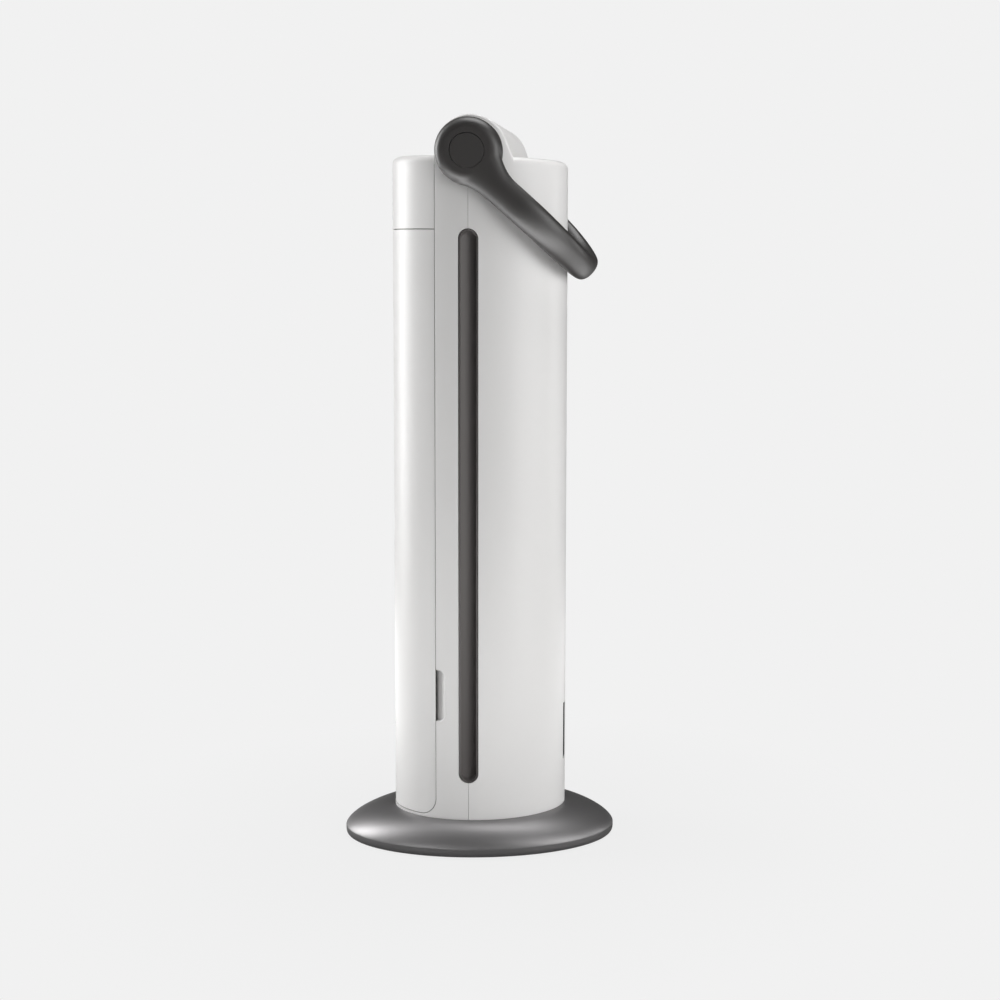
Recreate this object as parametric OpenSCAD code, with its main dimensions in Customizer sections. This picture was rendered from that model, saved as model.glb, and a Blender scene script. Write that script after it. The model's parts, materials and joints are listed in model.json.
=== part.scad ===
// Tower air purifier: oval column on a domed base, with a carry handle that swings over the top.
// Axes: X across the sides, -Y the front with its door, +Y the rear, Z up from the floor.

/* [Body] */
// Width of the column across its sides
body_w = 110; // [100:1:124]
// Depth of the column from front to rear
body_d = 146; // [138:1:160]
// Height of the column's flat top above the floor
body_top = 581; // [560:1:620]
// Height above the floor at which the column leaves the base
body_foot = 28; // [26:1:34]
// Wall of the moulded covers
wall = 2.4; // [2:0.1:3]
// Radius round the column's top edge
top_round = 6; // [3:0.5:8]
// Line between the two halves of the column
half_gap = 0.3; // [0.2:0.05:0.5]

/* [Door and control panel] */
// Distance of the door's rear edge in front of the column's middle
door_line = 27.8; // [26:0.2:30]
// Gap all round the door
door_gap = 0.5; // [0.4:0.05:0.8]
// Step from the column's side in to the door's side
door_inset = 1.3; // [0.8:0.1:1.8]
// Height of the control panel at the top of the front
panel_h = 60; // [56:1:66]
// Bottom edge of the door above the floor
door_bottom = 30; // [29.8:0.1:34]
// Radius of the door's lower corners
door_corner = 15; // [10:1:20]
// Radius of each catch peg on the door
peg_r = 2; // [1.6:0.1:2.4]
// How far the pegs reach behind the door's edge
peg_reach = 5; // [4:0.5:7]

/* [Finger notches] */
// Height of each finger notch
notch_h = 43.5; // [36:0.5:50]
// Width of each finger notch, front to rear
notch_w = 7.6; // [7:0.1:10]
// Depth of each finger notch at the door
notch_depth = 6.5; // [5.5:0.5:8]
// Depth to which its floor rises at the rear
notch_rim = 1; // [0.6:0.2:2]
// Lower end of each finger notch above the floor
notch_bottom = 111.5; // [100:0.5:130]

/* [Side outlets and front inlet] */
// Width of the long slots
slot_w = 16.6; // [14:0.2:20]
// Lower end of the side slots
slot_bottom = 59.5; // [55:0.5:66]
// Upper end of the side slots
slot_top = 522; // [500:1:524]
// Lower end of the slot in the door
inlet_bottom = 80; // [70:1:100]
// Upper end of the slot in the door
inlet_top = 500; // [460:1:505]
// Spacing of the bars in the door's grille
grille_pitch = 5.6; // [5:0.2:6]
// Play between a slot and its liner, each side
liner_play = 0.25; // [0.15:0.05:0.4]
// Width of the flange round each slot liner
liner_flange = 3; // [2:0.5:3.5]
// Wall of the slot liners
liner_wall = 1.5; // [1.2:0.1:2]
// Depth of the liner's floor at its front edge
liner_shallow = 3; // [2.5:0.5:4]
// Depth of the liner's floor at its rear edge
liner_deep = 11; // [10:0.5:12]
// Number of air windows in each liner's rear side
liner_windows = 12; // [8:1:14]
// Width of those windows
window_w = 3.6; // [3:0.1:3.8]

/* [Base] */
// Width of the base
base_w = 147; // [140:1:160]
// Depth of the base
base_d = 231; // [220:1:245]
// Height of the base's widest line
rim_z = 8.5; // [7:0.5:10]
// Wall of the base dome
base_wall = 3; // [2.5:0.5:4]
// Depth of the pocket that holds the column's foot
foot_pocket = 4; // [3:0.5:5]
// Height of the rubber feet
foot_h = 1.5; // [1.2:0.1:2.5]
// Radius of the rubber feet
foot_r = 7; // [5:0.5:9]
// Thickness of the base's bottom plate
plate_t = 2; // [1.6:0.2:3]
// Thickness of the steel ballast
ballast_t = 6; // [3:0.5:8]

/* [Handle] */
// Height of the handle's axle above the floor
pivot_z = 583.5; // [582:0.5:586]
// Distance of the handle's axle behind the column's middle
pivot_y = 1.2; // [0:0.1:2]
// Radius of the round hubs
hub_r = 27.5; // [26:0.5:28.5]
// Thickness of the hubs
hub_t = 11; // [10:0.5:13]
// Radius round the hubs' outer edge
hub_soft = 8.5; // [6:0.5:9]
// Angle of the arms below level when the handle lies back
rest_angle = 40.8; // [36:0.2:42]
// Distance of the arms' centre line below the axle
arm_drop = 6.1; // [5:0.1:7]
// Half height of the arms
arm_h = 13; // [12:0.5:15]
// Half height of the grip bar
grip_h = 12; // [10:0.5:14]
// Half thickness of the arms
arm_r = 6.5; // [5:0.5:7]
// Half thickness of the grip bar
grip_r = 8.5; // [7:0.5:10]
// Where the arms start to curve in, from the axle
bend_start = 60; // [56:1:66]
// Length of the curved end beyond that
bend_length = 64; // [60:1:70]
// How much lower the grip bar lies than the arms
grip_drop = 5; // [3:0.5:6]
// Radius of the steel axle
axle_r = 4; // [3.5:0.1:5]
// Running clearance round the axle
axle_play = 0.05; // [0.03:0.01:0.08]
// Radius of the cap in each hub
cap_r = 14; // [12:0.5:16]
// Thickness of the caps
cap_t = 2.1; // [1.6:0.1:2.5]
// Radius of the housing hump between the hubs
hump_r = 29; // [28:0.5:30]
// Distance of the hump's axis behind the column's middle
hump_back = 2.5; // [2:0.5:3]
// Height of the hump's axis above the handle's axle
hump_up = 1; // [0.5:0.5:1.5]
// Outer radius of the axle bushes
bush_r = 7; // [6:0.5:8]
// Width of the flange round each bush
bush_flange = 3; // [2:0.5:4]
// Depth of the seats for those flanges in the column's sides
bush_seat = 1.5; // [1:0.1:2]

/* [Fan] */
// Distance of the fan's axis in front of the column's rear
fan_back = 43; // [42:0.5:44]
// Outer radius of the fan wheel
fan_r = 24; // [22:0.5:25]
// Length of the fan's blades across the ring
blade_w = 6; // [5:0.5:7]
// Number of blades
blade_count = 20; // [16:1:26]
// Lower end of the fan wheel
fan_bottom = 70; // [69:0.5:74]
// Upper end of the fan wheel
fan_top = 478; // [440:1:478]
// Radius of the fan's shafts
shaft_r = 2.5; // [2:0.1:3]
// Clearance between a shaft and its bore
shaft_play = 0.05; // [0.03:0.01:0.08]
// Radius of the motor
motor_r = 19; // [17:0.5:21]
// Clearance between the wheel and the duct round it
duct_play = 3; // [2:0.5:4]
// Wall of the air duct
duct_wall = 1.6; // [1.2:0.1:2]

/* [Filter] */
// Width of the filter cartridge
filter_w = 58; // [50:1:60]
// Thickness of the filter cartridge
filter_d = 27; // [22:1:28]
// Height of the filter cartridge
filter_h = 436; // [380:2:440]
// Wall of the cartridge frame
filter_wall = 2; // [1.5:0.1:3]
// Number of pleats
pleats = 14; // [8:1:18]
// Thickness of the pleated paper
paper_t = 0.8; // [0.6:0.1:1.2]
// Thickness of the carbon sheet
carbon_t = 4; // [3:0.5:6]

/* [Controls] */
// Radius of the two buttons
button_r = 7; // [5:0.5:8]
// Height of the upper button
button_high = 563; // [560:1:564]
// Height of the lower button
button_low = 542; // [541:1:544]
// Gap round each button
button_gap = 0.3; // [0.2:0.05:0.5]
// How far the buttons lie below the panel's foremost line
button_sunk = 0.3; // [0.2:0.1:0.6]
// Width of the indicator lens
lens_w = 14; // [8:1:18]

/* [Power inlet] */
// Width of the recess at the rear
recess_w = 12; // [11:0.5:14]
// Height of the recess at the rear
recess_h = 50; // [40:1:56]
// Lower end of the recess
recess_bottom = 67; // [64:1:90]
// Depth of the recess
recess_depth = 9.5; // [8:0.5:9.5]

/* [Screws] */
// Radius of the screws' threads
screw_r = 1.5; // [1.2:0.1:2]
// Clearance round a screw in its hole
screw_play = 0.05; // [0.03:0.01:0.1]
// Radius of the screw bosses
boss_r = 4; // [3.5:0.5:5]

/* [Hidden] */

sides = 72;
round_fn = 96;
reach = 400;
touch = 0.01;

panel_line = body_top - panel_h;
deck_z = body_foot - foot_pocket;
pocket_play = 0.4;
seat_gap = 0.3;
front_y = -body_d / 2;
duct_bottom = fan_bottom - 2;
duct_top = fan_top + 2;
hub_in = body_w / 2 + 0.6;
hub_out = hub_in + hub_t;
fan_y = body_d / 2 - fan_back;
bush_in = body_w / 2 - bush_seat;
hump_wall_in = bush_in - wall;
hump_z = pivot_z + hump_up;
recess_top = recess_bottom + recess_h;
base_screw_x = 32;
base_screw_y = 38;
base_screw_r = 2;
plate_screw_x = base_w / 2 - 23.5;
plate_screw_y = base_d / 4 - 5.8;
shell_screw_x = body_w / 2 - 10;
shell_screw_z = [46, body_top - 36];
peg_x = half_width(body_w, body_d, door_line) - 10.4;
peg_z = [notch_bottom - 30, panel_line - 34];
ballast_w = 84;
ballast_d = 184;
filter_back = -24.6;
filter_front = filter_back - filter_d;
filter_bottom = 42;
filter_top = filter_bottom + filter_h;
button_z = [button_high, button_low];

// Half of an oval of the given size at a distance along its depth.
function half_width(w, d, y) = w / 2 * sqrt(max(0, 1 - pow(2 * y / d, 2)));
function oval(w, d) = [for (i = [0:sides - 1]) [w / 2 * cos(360 * i / sides), d / 2 * sin(360 * i / sides)]];

// A solid through a stack of ovals, each given as [width, depth, height].
module oval_stack(levels) {
    count = len(levels);
    points = [for (s = levels) for (p = oval(s[0], s[1])) [p[0], p[1], s[2]]];
    bottom = [[for (i = [0:sides - 1]) i]];
    top = [[for (i = [sides - 1:-1:0]) (count - 1) * sides + i]];
    walls = [for (k = [0:count - 2]) for (i = [0:sides - 1]) for (half = [0, 1])
        let (a = k * sides + i, b = k * sides + (i + 1) % sides)
        half == 0 ? [a, a + sides, b + sides] : [a, b + sides, b]];
    polyhedron(points, concat(bottom, top, walls), convexity = 6);
}

// Extrudes a drawing of depth against height across the column.
module across(width) {
    rotate([90, 0, 90])
        linear_extrude(width, center = true)
            children();
}

// Extrudes a drawing of width against height along the depth, from one distance to another.
module lengthwise(from, to) {
    translate([0, to, 0])
        rotate([90, 0, 0])
            linear_extrude(to - from)
                children();
}

// A rod along X from one side to the other.
module cross_rod(r, from, to) {
    translate([from, pivot_y, pivot_z])
        rotate([0, 90, 0])
            cylinder(r = r, h = to - from, $fn = round_fn);
}

// A rod along Y at the given width and height.
module long_rod(r, x, z, from, to) {
    translate([x, from, z])
        rotate([-90, 0, 0])
            cylinder(r = r, h = to - from, $fn = 48);
}

// An upright rod.
module post(r, x, y, from, to) {
    translate([x, y, from])
        cylinder(r = r, h = to - from, $fn = 48);
}

module block(x, y, z) {
    translate([x[0], y[0], z[0]])
        cube([x[1] - x[0], y[1] - y[0], z[1] - z[0]]);
}

// A long slot with round ends, drawn upright.
module slot_shape(w, from, to) {
    translate([-w / 2, from + w / 2])
        square([w, to - from - w]);
    for (z = [from + w / 2, to - w / 2])
        translate([0, z])
            circle(r = w / 2, $fn = round_fn);
}

module prism(w, d, from, to) {
    translate([0, 0, from])
        linear_extrude(to - from)
            polygon(oval(w, d));
}

// The column's outside, drawn in by a margin at the sides, the front and the top.
module column(side, ends, top, from) {
    w = body_w - 2 * side;
    d = body_d - 2 * ends;
    z = body_top - top;
    r = max(top_round - top, 1.5);
    oval_stack([
        [w, d, from],
        [w, d, z - r],
        for (a = [22.5, 45, 67.5, 90]) [w - 2 * r * (1 - cos(a)), d - 2 * r * (1 - cos(a)), z - r + r * sin(a)]
    ]);
}

// Side view of what lies in front of the door line, grown by a margin.
module front_region(margin, from) {
    edge = -door_line + margin;
    r = door_corner + margin;
    low = from - margin;
    translate([-reach, low])
        square([reach + edge - r, reach * 2]);
    translate([-reach, low + r])
        square([reach + edge, reach * 2]);
    translate([edge - r, low + r])
        circle(r = r, $fn = round_fn);
}

// ---- Base ----

function dome_level(t, drop, inset) = [
    base_w - t * (base_w - body_w) - 2 * inset,
    base_d - t * (base_d - body_d) - 2 * inset,
    rim_z + (body_foot - rim_z) * pow(1 - pow(1 - t, 1.6), 0.68) - drop
];
dome_steps = [0.02, 0.06, 0.13, 0.24, 0.4, 0.6, 0.8, 1];
bottom_inset = 2;

module base_shell() {
    color("#5b5c5f")
        difference() {
            union() {
                oval_stack([
                    [base_w - 2 * bottom_inset, base_d - 2 * bottom_inset, foot_h],
                    [base_w - 0.6, base_d - 0.6, foot_h + 2.5],
                    [base_w, base_d, rim_z - 1],
                    [base_w, base_d, rim_z],
                    for (t = dome_steps) dome_level(t, 0, 0)
                ]);
            }
            difference() {
                union() {
                    prism(base_w - 2 * (bottom_inset + base_wall - 1), base_d - 2 * (bottom_inset + base_wall - 1),
                        -1, rim_z - 1);
                    oval_stack([
                        dome_level(0, base_wall, base_wall),
                        for (t = [0.24, 0.6, 1]) dome_level(t, base_wall, base_wall)
                    ]);
                }
                base_deck_fill();
                for (x = [-1, 1], y = [-1, 1])
                    post(boss_r, x * plate_screw_x, y * plate_screw_y, foot_h + plate_t, body_foot);
            }
            prism(body_w + 2 * pocket_play, body_d + 2 * pocket_play, deck_z, body_foot + 1);
            for (x = [-1, 1], y = [-1, 1]) {
                post(base_screw_r + screw_play, x * base_screw_x, y * base_screw_y, 0, body_foot);
                post(screw_r + screw_play, x * plate_screw_x, y * plate_screw_y, 0, 13);
            }
        }
}

// The deck under the pocket stays solid.
module base_deck_fill() {
    prism(body_w + 2 * pocket_play + 8, body_d + 2 * pocket_play + 8, deck_z - base_wall, body_foot);
}

module base_plate() {
    inset = bottom_inset + base_wall - 1 + seat_gap;
    color("#3a3b3d")
        difference() {
            prism(base_w - 2 * inset, base_d - 2 * inset, foot_h, foot_h + plate_t);
            for (x = [-1, 1], y = [-1, 1])
                post(screw_r + screw_play, x * plate_screw_x, y * plate_screw_y, 0, 13);
        }
}

module ballast() {
    color("silver")
        prism(ballast_w, ballast_d, foot_h + plate_t, foot_h + plate_t + ballast_t);
}

module rubber_feet() {
    color("#202020")
        for (x = [-1, 1], y = [-1, 1])
            post(foot_r, x * base_w * 0.26, y * base_d * 0.34, 0, foot_h);
}

module base_screws() {
    color("silver")
        for (x = [-1, 1], y = [-1, 1]) {
            post(base_screw_r, x * base_screw_x, y * base_screw_y, deck_z - base_wall, deck_z + 12);
            post(2 * base_screw_r, x * base_screw_x, y * base_screw_y, deck_z - base_wall - 2, deck_z - base_wall);
        }
}

module plate_screws() {
    color("silver")
        for (x = [-1, 1], y = [-1, 1]) {
            post(screw_r, x * plate_screw_x, y * plate_screw_y, foot_h, 12);
            post(2 * screw_r, x * plate_screw_x, y * plate_screw_y, foot_h - 1, foot_h);
        }
}

// ---- Column ----

// Side view of the hump with its steep rear flank, around its own axis.
module hump_shape() {
    flank = 21;
    foot = 3;
    corner = hump_r * [cos(flank), sin(flank)];
    drop = corner[1] + hump_z - body_top + foot;
    translate([hump_back, hump_z]) {
        circle(r = hump_r, $fn = round_fn);
        polygon([[0, 0], corner, corner + [drop * tan(flank), -drop], [0, body_top - hump_z - foot]]);
    }
}

module hump_inside() {
    translate([hump_back, hump_z])
        circle(r = hump_r - wall, $fn = round_fn);
}

// The whole column with its hump, hollow and open below.
module column_hollow() {
    difference() {
        union() {
            column(0, 0, 0, deck_z);
            intersection() {
                across(2 * body_w)
                    intersection() {
                        hump_shape();
                        translate([-door_line, body_top - 2 * wall])
                            square([2 * hump_r + door_line, 2 * hump_r]);
                    }
                prism(body_w, body_d, 0, hump_z + 2 * hump_r);
            }
        }
        column(wall, wall, wall, deck_z - 1);
        intersection() {
            across(2 * hump_wall_in)
                intersection() {
                    hump_inside();
                    translate([-door_line + wall, body_top - wall - touch])
                        square([2 * hump_r + door_line, 2 * hump_r]);
                }
            prism(body_w - 2 * wall, body_d - 2 * wall, 0, hump_z + 2 * hump_r);
        }
    }
}

// Tubes that hold the axle's bushes.
module bush_tubes() {
    for (side = [0, 1])
        mirror([side, 0, 0])
            cross_rod(bush_r + wall, hump_wall_in - 7, hump_wall_in + touch);
}

module column_cuts() {
    across(body_w + 20)
        slot_shape(slot_w, slot_bottom, slot_top);
    cross_rod(bush_r, -body_w, body_w);
    for (side = [0, 1])
        mirror([side, 0, 0])
            cross_rod(bush_r + bush_flange + seat_gap, bush_in, body_w);
}

// Posts inside the side walls for the screws that join the halves.
module shell_bosses(from, to) {
    intersection() {
        column(wall / 2, wall / 2, wall / 2, deck_z);
        for (x = [-1, 1], z = shell_screw_z) {
            long_rod(boss_r, x * shell_screw_x, z, from, to);
            translate([x > 0 ? shell_screw_x : -body_w / 2, from, z - 1.5])
                cube([body_w / 2 - shell_screw_x, to - from, 3]);
        }
    }
}

module shell_bores() {
    for (x = [-1, 1], z = shell_screw_z)
        long_rod(screw_r + screw_play, x * shell_screw_x, z, -11, 10);
}

// A thin tongue that reaches into the door and hides the gap.
module door_tongue() {
    side = door_inset + wall + seat_gap;
    difference() {
        intersection() {
            prism(body_w - 2 * side, body_d - 2 * side, door_bottom + 3, panel_line - wall - 1);
            block([-body_w, body_w], [-door_line - 4, -door_line + 2], [0, body_top]);
        }
        prism(body_w - 2 * side - 3, body_d - 2 * side - 3, 0, body_top);
        tongue_gaps();
    }
}

module tongue_gaps() {
    across(2 * body_w)
        for (z = peg_z)
            translate([-door_line - 10, z - 7])
                square([10, 14]);
}

// Lugs behind the door line that take its pegs.
module peg_lugs() {
    for (z = peg_z)
        intersection() {
            column(wall / 2, wall / 2, wall / 2, deck_z);
            for (x = [-1, 1])
                block([x > 0 ? peg_x - 5 : -body_w, x > 0 ? body_w : 5 - peg_x],
                    [-door_line, -door_line + 3], [z - 6, z + 6]);
        }
}

// Blocks of wall behind the finger notches, and the notches.
module notch_pads() {
    intersection() {
        column(wall / 2, wall / 2, wall / 2, deck_z);
        for (x = [-1, 1])
            block([x > 0 ? notch_floor() - wall : -body_w, x > 0 ? body_w : wall - notch_floor()],
                [-door_line, -door_line + notch_w + wall], [notch_bottom - wall, notch_bottom + notch_h + wall]);
    }
}

function notch_floor() = half_width(body_w, body_d, door_line) - notch_depth;

module notch_shape() {
    r = 6.5;
    top = notch_bottom + notch_h;
    edge = -door_line + notch_w;
    translate([-door_line - 5, notch_bottom])
        square([notch_w + 5 - r, notch_h]);
    translate([-door_line - 5, notch_bottom + r])
        square([notch_w + 5, notch_h - 2 * r]);
    for (z = [notch_bottom + r, top - r])
        translate([edge - r, z])
            circle(r = r, $fn = 48);
}

module notch_cuts() {
    rise = half_width(body_w, body_d, door_line - notch_w) - notch_rim - notch_floor();
    for (side = [0, 1])
        mirror([side, 0, 0])
            intersection() {
                translate([notch_floor() + body_w / 2, 0, 0])
                    across(body_w)
                        notch_shape();
                translate([notch_floor(), -door_line, 0])
                    rotate([0, 0, -atan(rise / notch_w)])
                        translate([0, -body_w / 2, 0])
                            cube([body_w, body_w, body_top]);
            }
}

module front_shell() {
    color("#ededec")
        difference() {
            union() {
                difference() {
                    intersection() {
                        column_hollow();
                        block([-body_w, body_w], [-body_d, -half_gap / 2], [0, 2 * body_top]);
                    }
                    across(2 * body_w)
                        front_region(0, door_bottom - door_gap);
                }
                sill();
                door_tongue();
                peg_lugs();
                notch_pads();
                shell_bosses(-10, -half_gap / 2);
                intersection() {
                    bush_tubes();
                    block([-body_w, body_w], [-body_d, -half_gap / 2], [0, 2 * body_top]);
                }
            }
            column_cuts();
            notch_cuts();
            shell_bores();
            for (x = [-1, 1], z = peg_z)
                long_rod(peg_r + 0.1, x * peg_x, z, -door_line - 1, -door_line + 4);
        }
}

// The strip of the column that runs round under the door.
module sill() {
    difference() {
        intersection() {
            prism(body_w, body_d, deck_z, door_bottom - door_gap);
            block([-body_w, body_w], [-body_d, -door_line + 1], [0, body_top]);
        }
        prism(body_w - 4 * wall, body_d - 4 * wall, 0, body_top);
    }
}

module rear_shell() {
    color("#ededec")
        difference() {
            union() {
                intersection() {
                    column_hollow();
                    block([-body_w, body_w], [half_gap / 2, body_d], [0, 2 * body_top]);
                }
                shell_bosses(half_gap / 2, 11);
                intersection() {
                    bush_tubes();
                    block([-body_w, body_w], [half_gap / 2, body_d], [0, 2 * body_top]);
                }
            }
            column_cuts();
            shell_bores();
            lengthwise(body_d / 4, body_d)
                recess_shape(0);
        }
}

module shell_screws() {
    color("silver")
        for (x = [-1, 1], z = shell_screw_z) {
            long_rod(screw_r, x * shell_screw_x, z, -10, 9);
            long_rod(2 * screw_r, x * shell_screw_x, z, -12, -10);
        }
}

// The floor inside the column, screwed to the base from below.
module foot_frame() {
    side = wall + seat_gap;
    color("#8f9194")
        difference() {
            union() {
                intersection() {
                    prism(body_w - 2 * side, body_d - 2 * side, deck_z, deck_z + 3);
                    block([-body_w, body_w], [-door_line + 1.3, body_d], [0, body_top]);
                }
                intersection() {
                    prism(body_w - 4 * wall - 0.6, body_d - 4 * wall - 0.6, deck_z, deck_z + 3);
                    block([-body_w, body_w], [-base_screw_y - 8, 0], [0, body_top]);
                }
                for (x = [-1, 1], y = [-1, 1])
                    post(boss_r + 1, x * base_screw_x, y * base_screw_y, deck_z, deck_z + 13);
            }
            for (x = [-1, 1], y = [-1, 1])
                post(base_screw_r + screw_play, x * base_screw_x, y * base_screw_y, 0, body_top);
        }
}

// ---- Control panel ----

module control_panel() {
    color("#f3f3f2")
        difference() {
            union() {
                difference() {
                    column(door_inset, 0.3, 0, panel_line + door_gap / 2);
                    column(door_inset + wall, 0.3 + wall, wall, panel_line + wall);
                }
                for (x = [-1, 1])
                    lengthwise(front_y + 7, board_y)
                        translate([x * 18, body_top - panel_h / 2])
                            circle(r = 2.5, $fn = 48);
            }
            block([-body_w, body_w], [-door_line - door_gap, body_d], [0, 2 * body_top]);
            for (z = button_z)
                long_rod(button_r + button_gap, 0, z, -body_d, -body_d / 4);
            lengthwise(-body_d, -body_d / 4)
                lens_shape(0);
        }
}

board_y = front_y + 15.5;

module lens_shape(play) {
    translate([-lens_w / 2 + play, panel_line + 8 + play])
        square([lens_w - 2 * play, 4 - 2 * play]);
}

module indicator_lens() {
    color("#cfe8ff")
        lengthwise(front_y + 0.6, front_y + 4)
            lens_shape(0.1);
}

module display_board() {
    color("darkgreen")
        block([-24, 24], [board_y, board_y + 1.6], [panel_line + 6, body_top - 9]);
    color("#222222")
        for (z = button_z)
            block([-3, 3], [board_y - 3.4, board_y], [z - 3, z + 3]);
    color("white")
        block([-5, 5], [board_y - 5, board_y], [panel_line + 8.5, panel_line + 11.5]);
}

module button(z) {
    front = front_y + 0.3;
    seat = front + wall + 1.5;
    long_rod(button_r, 0, z, front + button_sunk, seat + 1);
    long_rod(button_r + 1.6, 0, z, seat, seat + 1);
    long_rod(2.5, 0, z, seat, board_y - 5.2);
}

module power_button() {
    color("#7c7d80")
        button(button_high);
}

module speed_button() {
    color("#7c7d80")
        button(button_low);
}

// ---- Side outlets ----

module outlet_liner() {
    w = slot_w - 2 * liner_play;
    low = slot_bottom + liner_play;
    high = slot_top - liner_play;
    face = body_w / 2 - 0.8;
    back = body_w / 2 - liner_deep - liner_wall - 1;
    seat = half_width(body_w - 2 * wall, body_d - 2 * wall, slot_w / 2 + liner_flange) - 0.2;
    tilt = atan((liner_deep - liner_shallow) / (w - 2 * liner_wall));
    pitch = (high - low - 30) / liner_windows;
    difference() {
        union() {
            translate([(face + back) / 2, 0, 0])
                across(face - back)
                    slot_shape(w, low, high);
            translate([seat - 1, 0, 0])
                across(2)
                    slot_shape(w + 2 * liner_flange, low - liner_flange, high + liner_flange);
        }
        intersection() {
            translate([body_w / 2, 0, 0])
                across(body_w / 2)
                    slot_shape(w - 2 * liner_wall, low + liner_wall, high - liner_wall);
            translate([body_w / 2 - (liner_shallow + liner_deep) / 2, 0, 0])
                rotate([0, 0, tilt])
                    translate([0, -body_w / 2, 0])
                        cube([body_w, body_w, body_top]);
        }
        for (i = [0:liner_windows - 1])
            block([body_w / 2 - liner_deep + 0.6, body_w / 2 - liner_deep + 0.6 + window_w],
                [w / 2 - liner_wall - 0.2, w / 2 + 1],
                [low + 15 + pitch * (i + 0.12), low + 15 + pitch * (i + 0.88)]);
    }
}

module outlet_liner_right() {
    color("#4c4b4b")
        outlet_liner();
}

module outlet_liner_left() {
    color("#4c4b4b")
        mirror([1, 0, 0])
            outlet_liner();
}

// ---- Air path ----

// The wall between the filter and the fan, with the shelf that the filter slides on.
module filter_bulkhead() {
    back = filter_back + seat_gap;
    half = half_width(body_w - 2 * wall, body_d - 2 * wall, -back) - 0.3;
    pad = notch_floor() - wall - seat_gap;
    color("#c9cbcd")
        difference() {
            union() {
                block([-half, half], [back, back + 2.4], [deck_z + 3, panel_line - 4]);
                block([-filter_w / 2, filter_w / 2], [filter_front + 2, back], [filter_bottom - 3, filter_bottom - 0.3]);
                block([-filter_w / 2, filter_w / 2], [filter_front + 6, back], [filter_top + 0.4, filter_top + 2.8]);
                for (x = [-1, 1])
                    block([x > 0 ? filter_w / 2 + 0.4 : -filter_w / 2 - 2.4, x > 0 ? filter_w / 2 + 2.4 : -filter_w / 2 - 0.4],
                        [back - 9, back], [filter_bottom - 3, filter_top + 2.8]);
            }
            block([-filter_w / 2 + 6, filter_w / 2 - 6], [back - 1, back + 4], [filter_bottom + 8, filter_top - 8]);
            for (x = [-1, 1])
                block([x > 0 ? pad : -body_w, x > 0 ? body_w : -pad], [back - 1, back + 4],
                    [notch_bottom - wall - seat_gap, notch_bottom + notch_h + wall + seat_gap]);
        }
}

duct_r = fan_r + duct_play;
liner_reach = slot_w / 2 + liner_flange + seat_gap;

// One wall of the duct, drawn from above on the right-hand side.
module duct_side() {
    liner_back = body_w / 2 - liner_deep - liner_wall - 1.4;
    rear_y = slot_w / 2 + liner_flange + 1.5;
    rear = [half_width(body_w - 2 * wall, body_d - 2 * wall, rear_y) - 0.6, rear_y];
    fore = [liner_back, -slot_w / 2 + 0.6];
    polygon([[duct_r, fan_y], [duct_r + duct_wall, fan_y], rear, rear - [duct_wall, 0]]);
    polygon([fore, fore - [0, duct_wall], [13, 2.2 - duct_wall], [13, 2.2]]);
}

module duct_walls() {
    difference() {
        translate([0, fan_y])
            circle(r = duct_r + duct_wall, $fn = round_fn);
        translate([0, fan_y])
            circle(r = duct_r, $fn = round_fn);
        translate([-body_w, fan_y - body_w])
            square([2 * body_w, body_w]);
    }
    for (side = [0, 1])
        mirror([side, 0])
            duct_side();
}

module duct_end() {
    intersection() {
        polygon(oval(body_w - 2 * wall - 1, body_d - 2 * wall - 1));
        translate([-body_w, -13])
            square([2 * body_w, 13 + fan_y + duct_r + 4]);
    }
}

module air_duct() {
    liner_back = body_w / 2 - liner_deep - liner_wall - 1.4;
    color("#3f4043")
        difference() {
            union() {
                translate([0, 0, duct_bottom])
                    linear_extrude(duct_top - duct_bottom)
                        duct_walls();
                for (z = [duct_bottom - 2, duct_top])
                    translate([0, 0, z])
                        linear_extrude(2)
                            duct_end();
            }
            post(fan_r + 1.5, 0, fan_y, 0, body_top);
            for (side = [0, 1])
                mirror([side, 0, 0])
                    block([liner_back, body_w], [-liner_reach, liner_reach], [0, body_top]);
        }
}

module motor_bracket() {
    color("#a7a9ac")
        difference() {
            post(fan_r + 6, 0, fan_y, duct_bottom - 4.5, duct_bottom - 2);
            post(6.2, 0, fan_y, 0, duct_bottom);
        }
}

module fan_motor() {
    color("#2b2b2d")
        difference() {
            union() {
                post(motor_r, 0, fan_y, duct_bottom - 30, duct_bottom - 4.5);
                post(6, 0, fan_y, duct_bottom - 5, duct_bottom - 1);
            }
            post(shaft_r + shaft_play, 0, fan_y, duct_bottom - 18, duct_bottom);
        }
}

module bearing_plate() {
    color("#a7a9ac")
        difference() {
            union() {
                post(fan_r + 6, 0, fan_y, duct_top + 2, duct_top + 4.5);
                post(7, 0, fan_y, duct_top + 0.5, duct_top + 10);
            }
            post(shaft_r + shaft_play, 0, fan_y, 0, duct_top + 9);
        }
}

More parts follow.
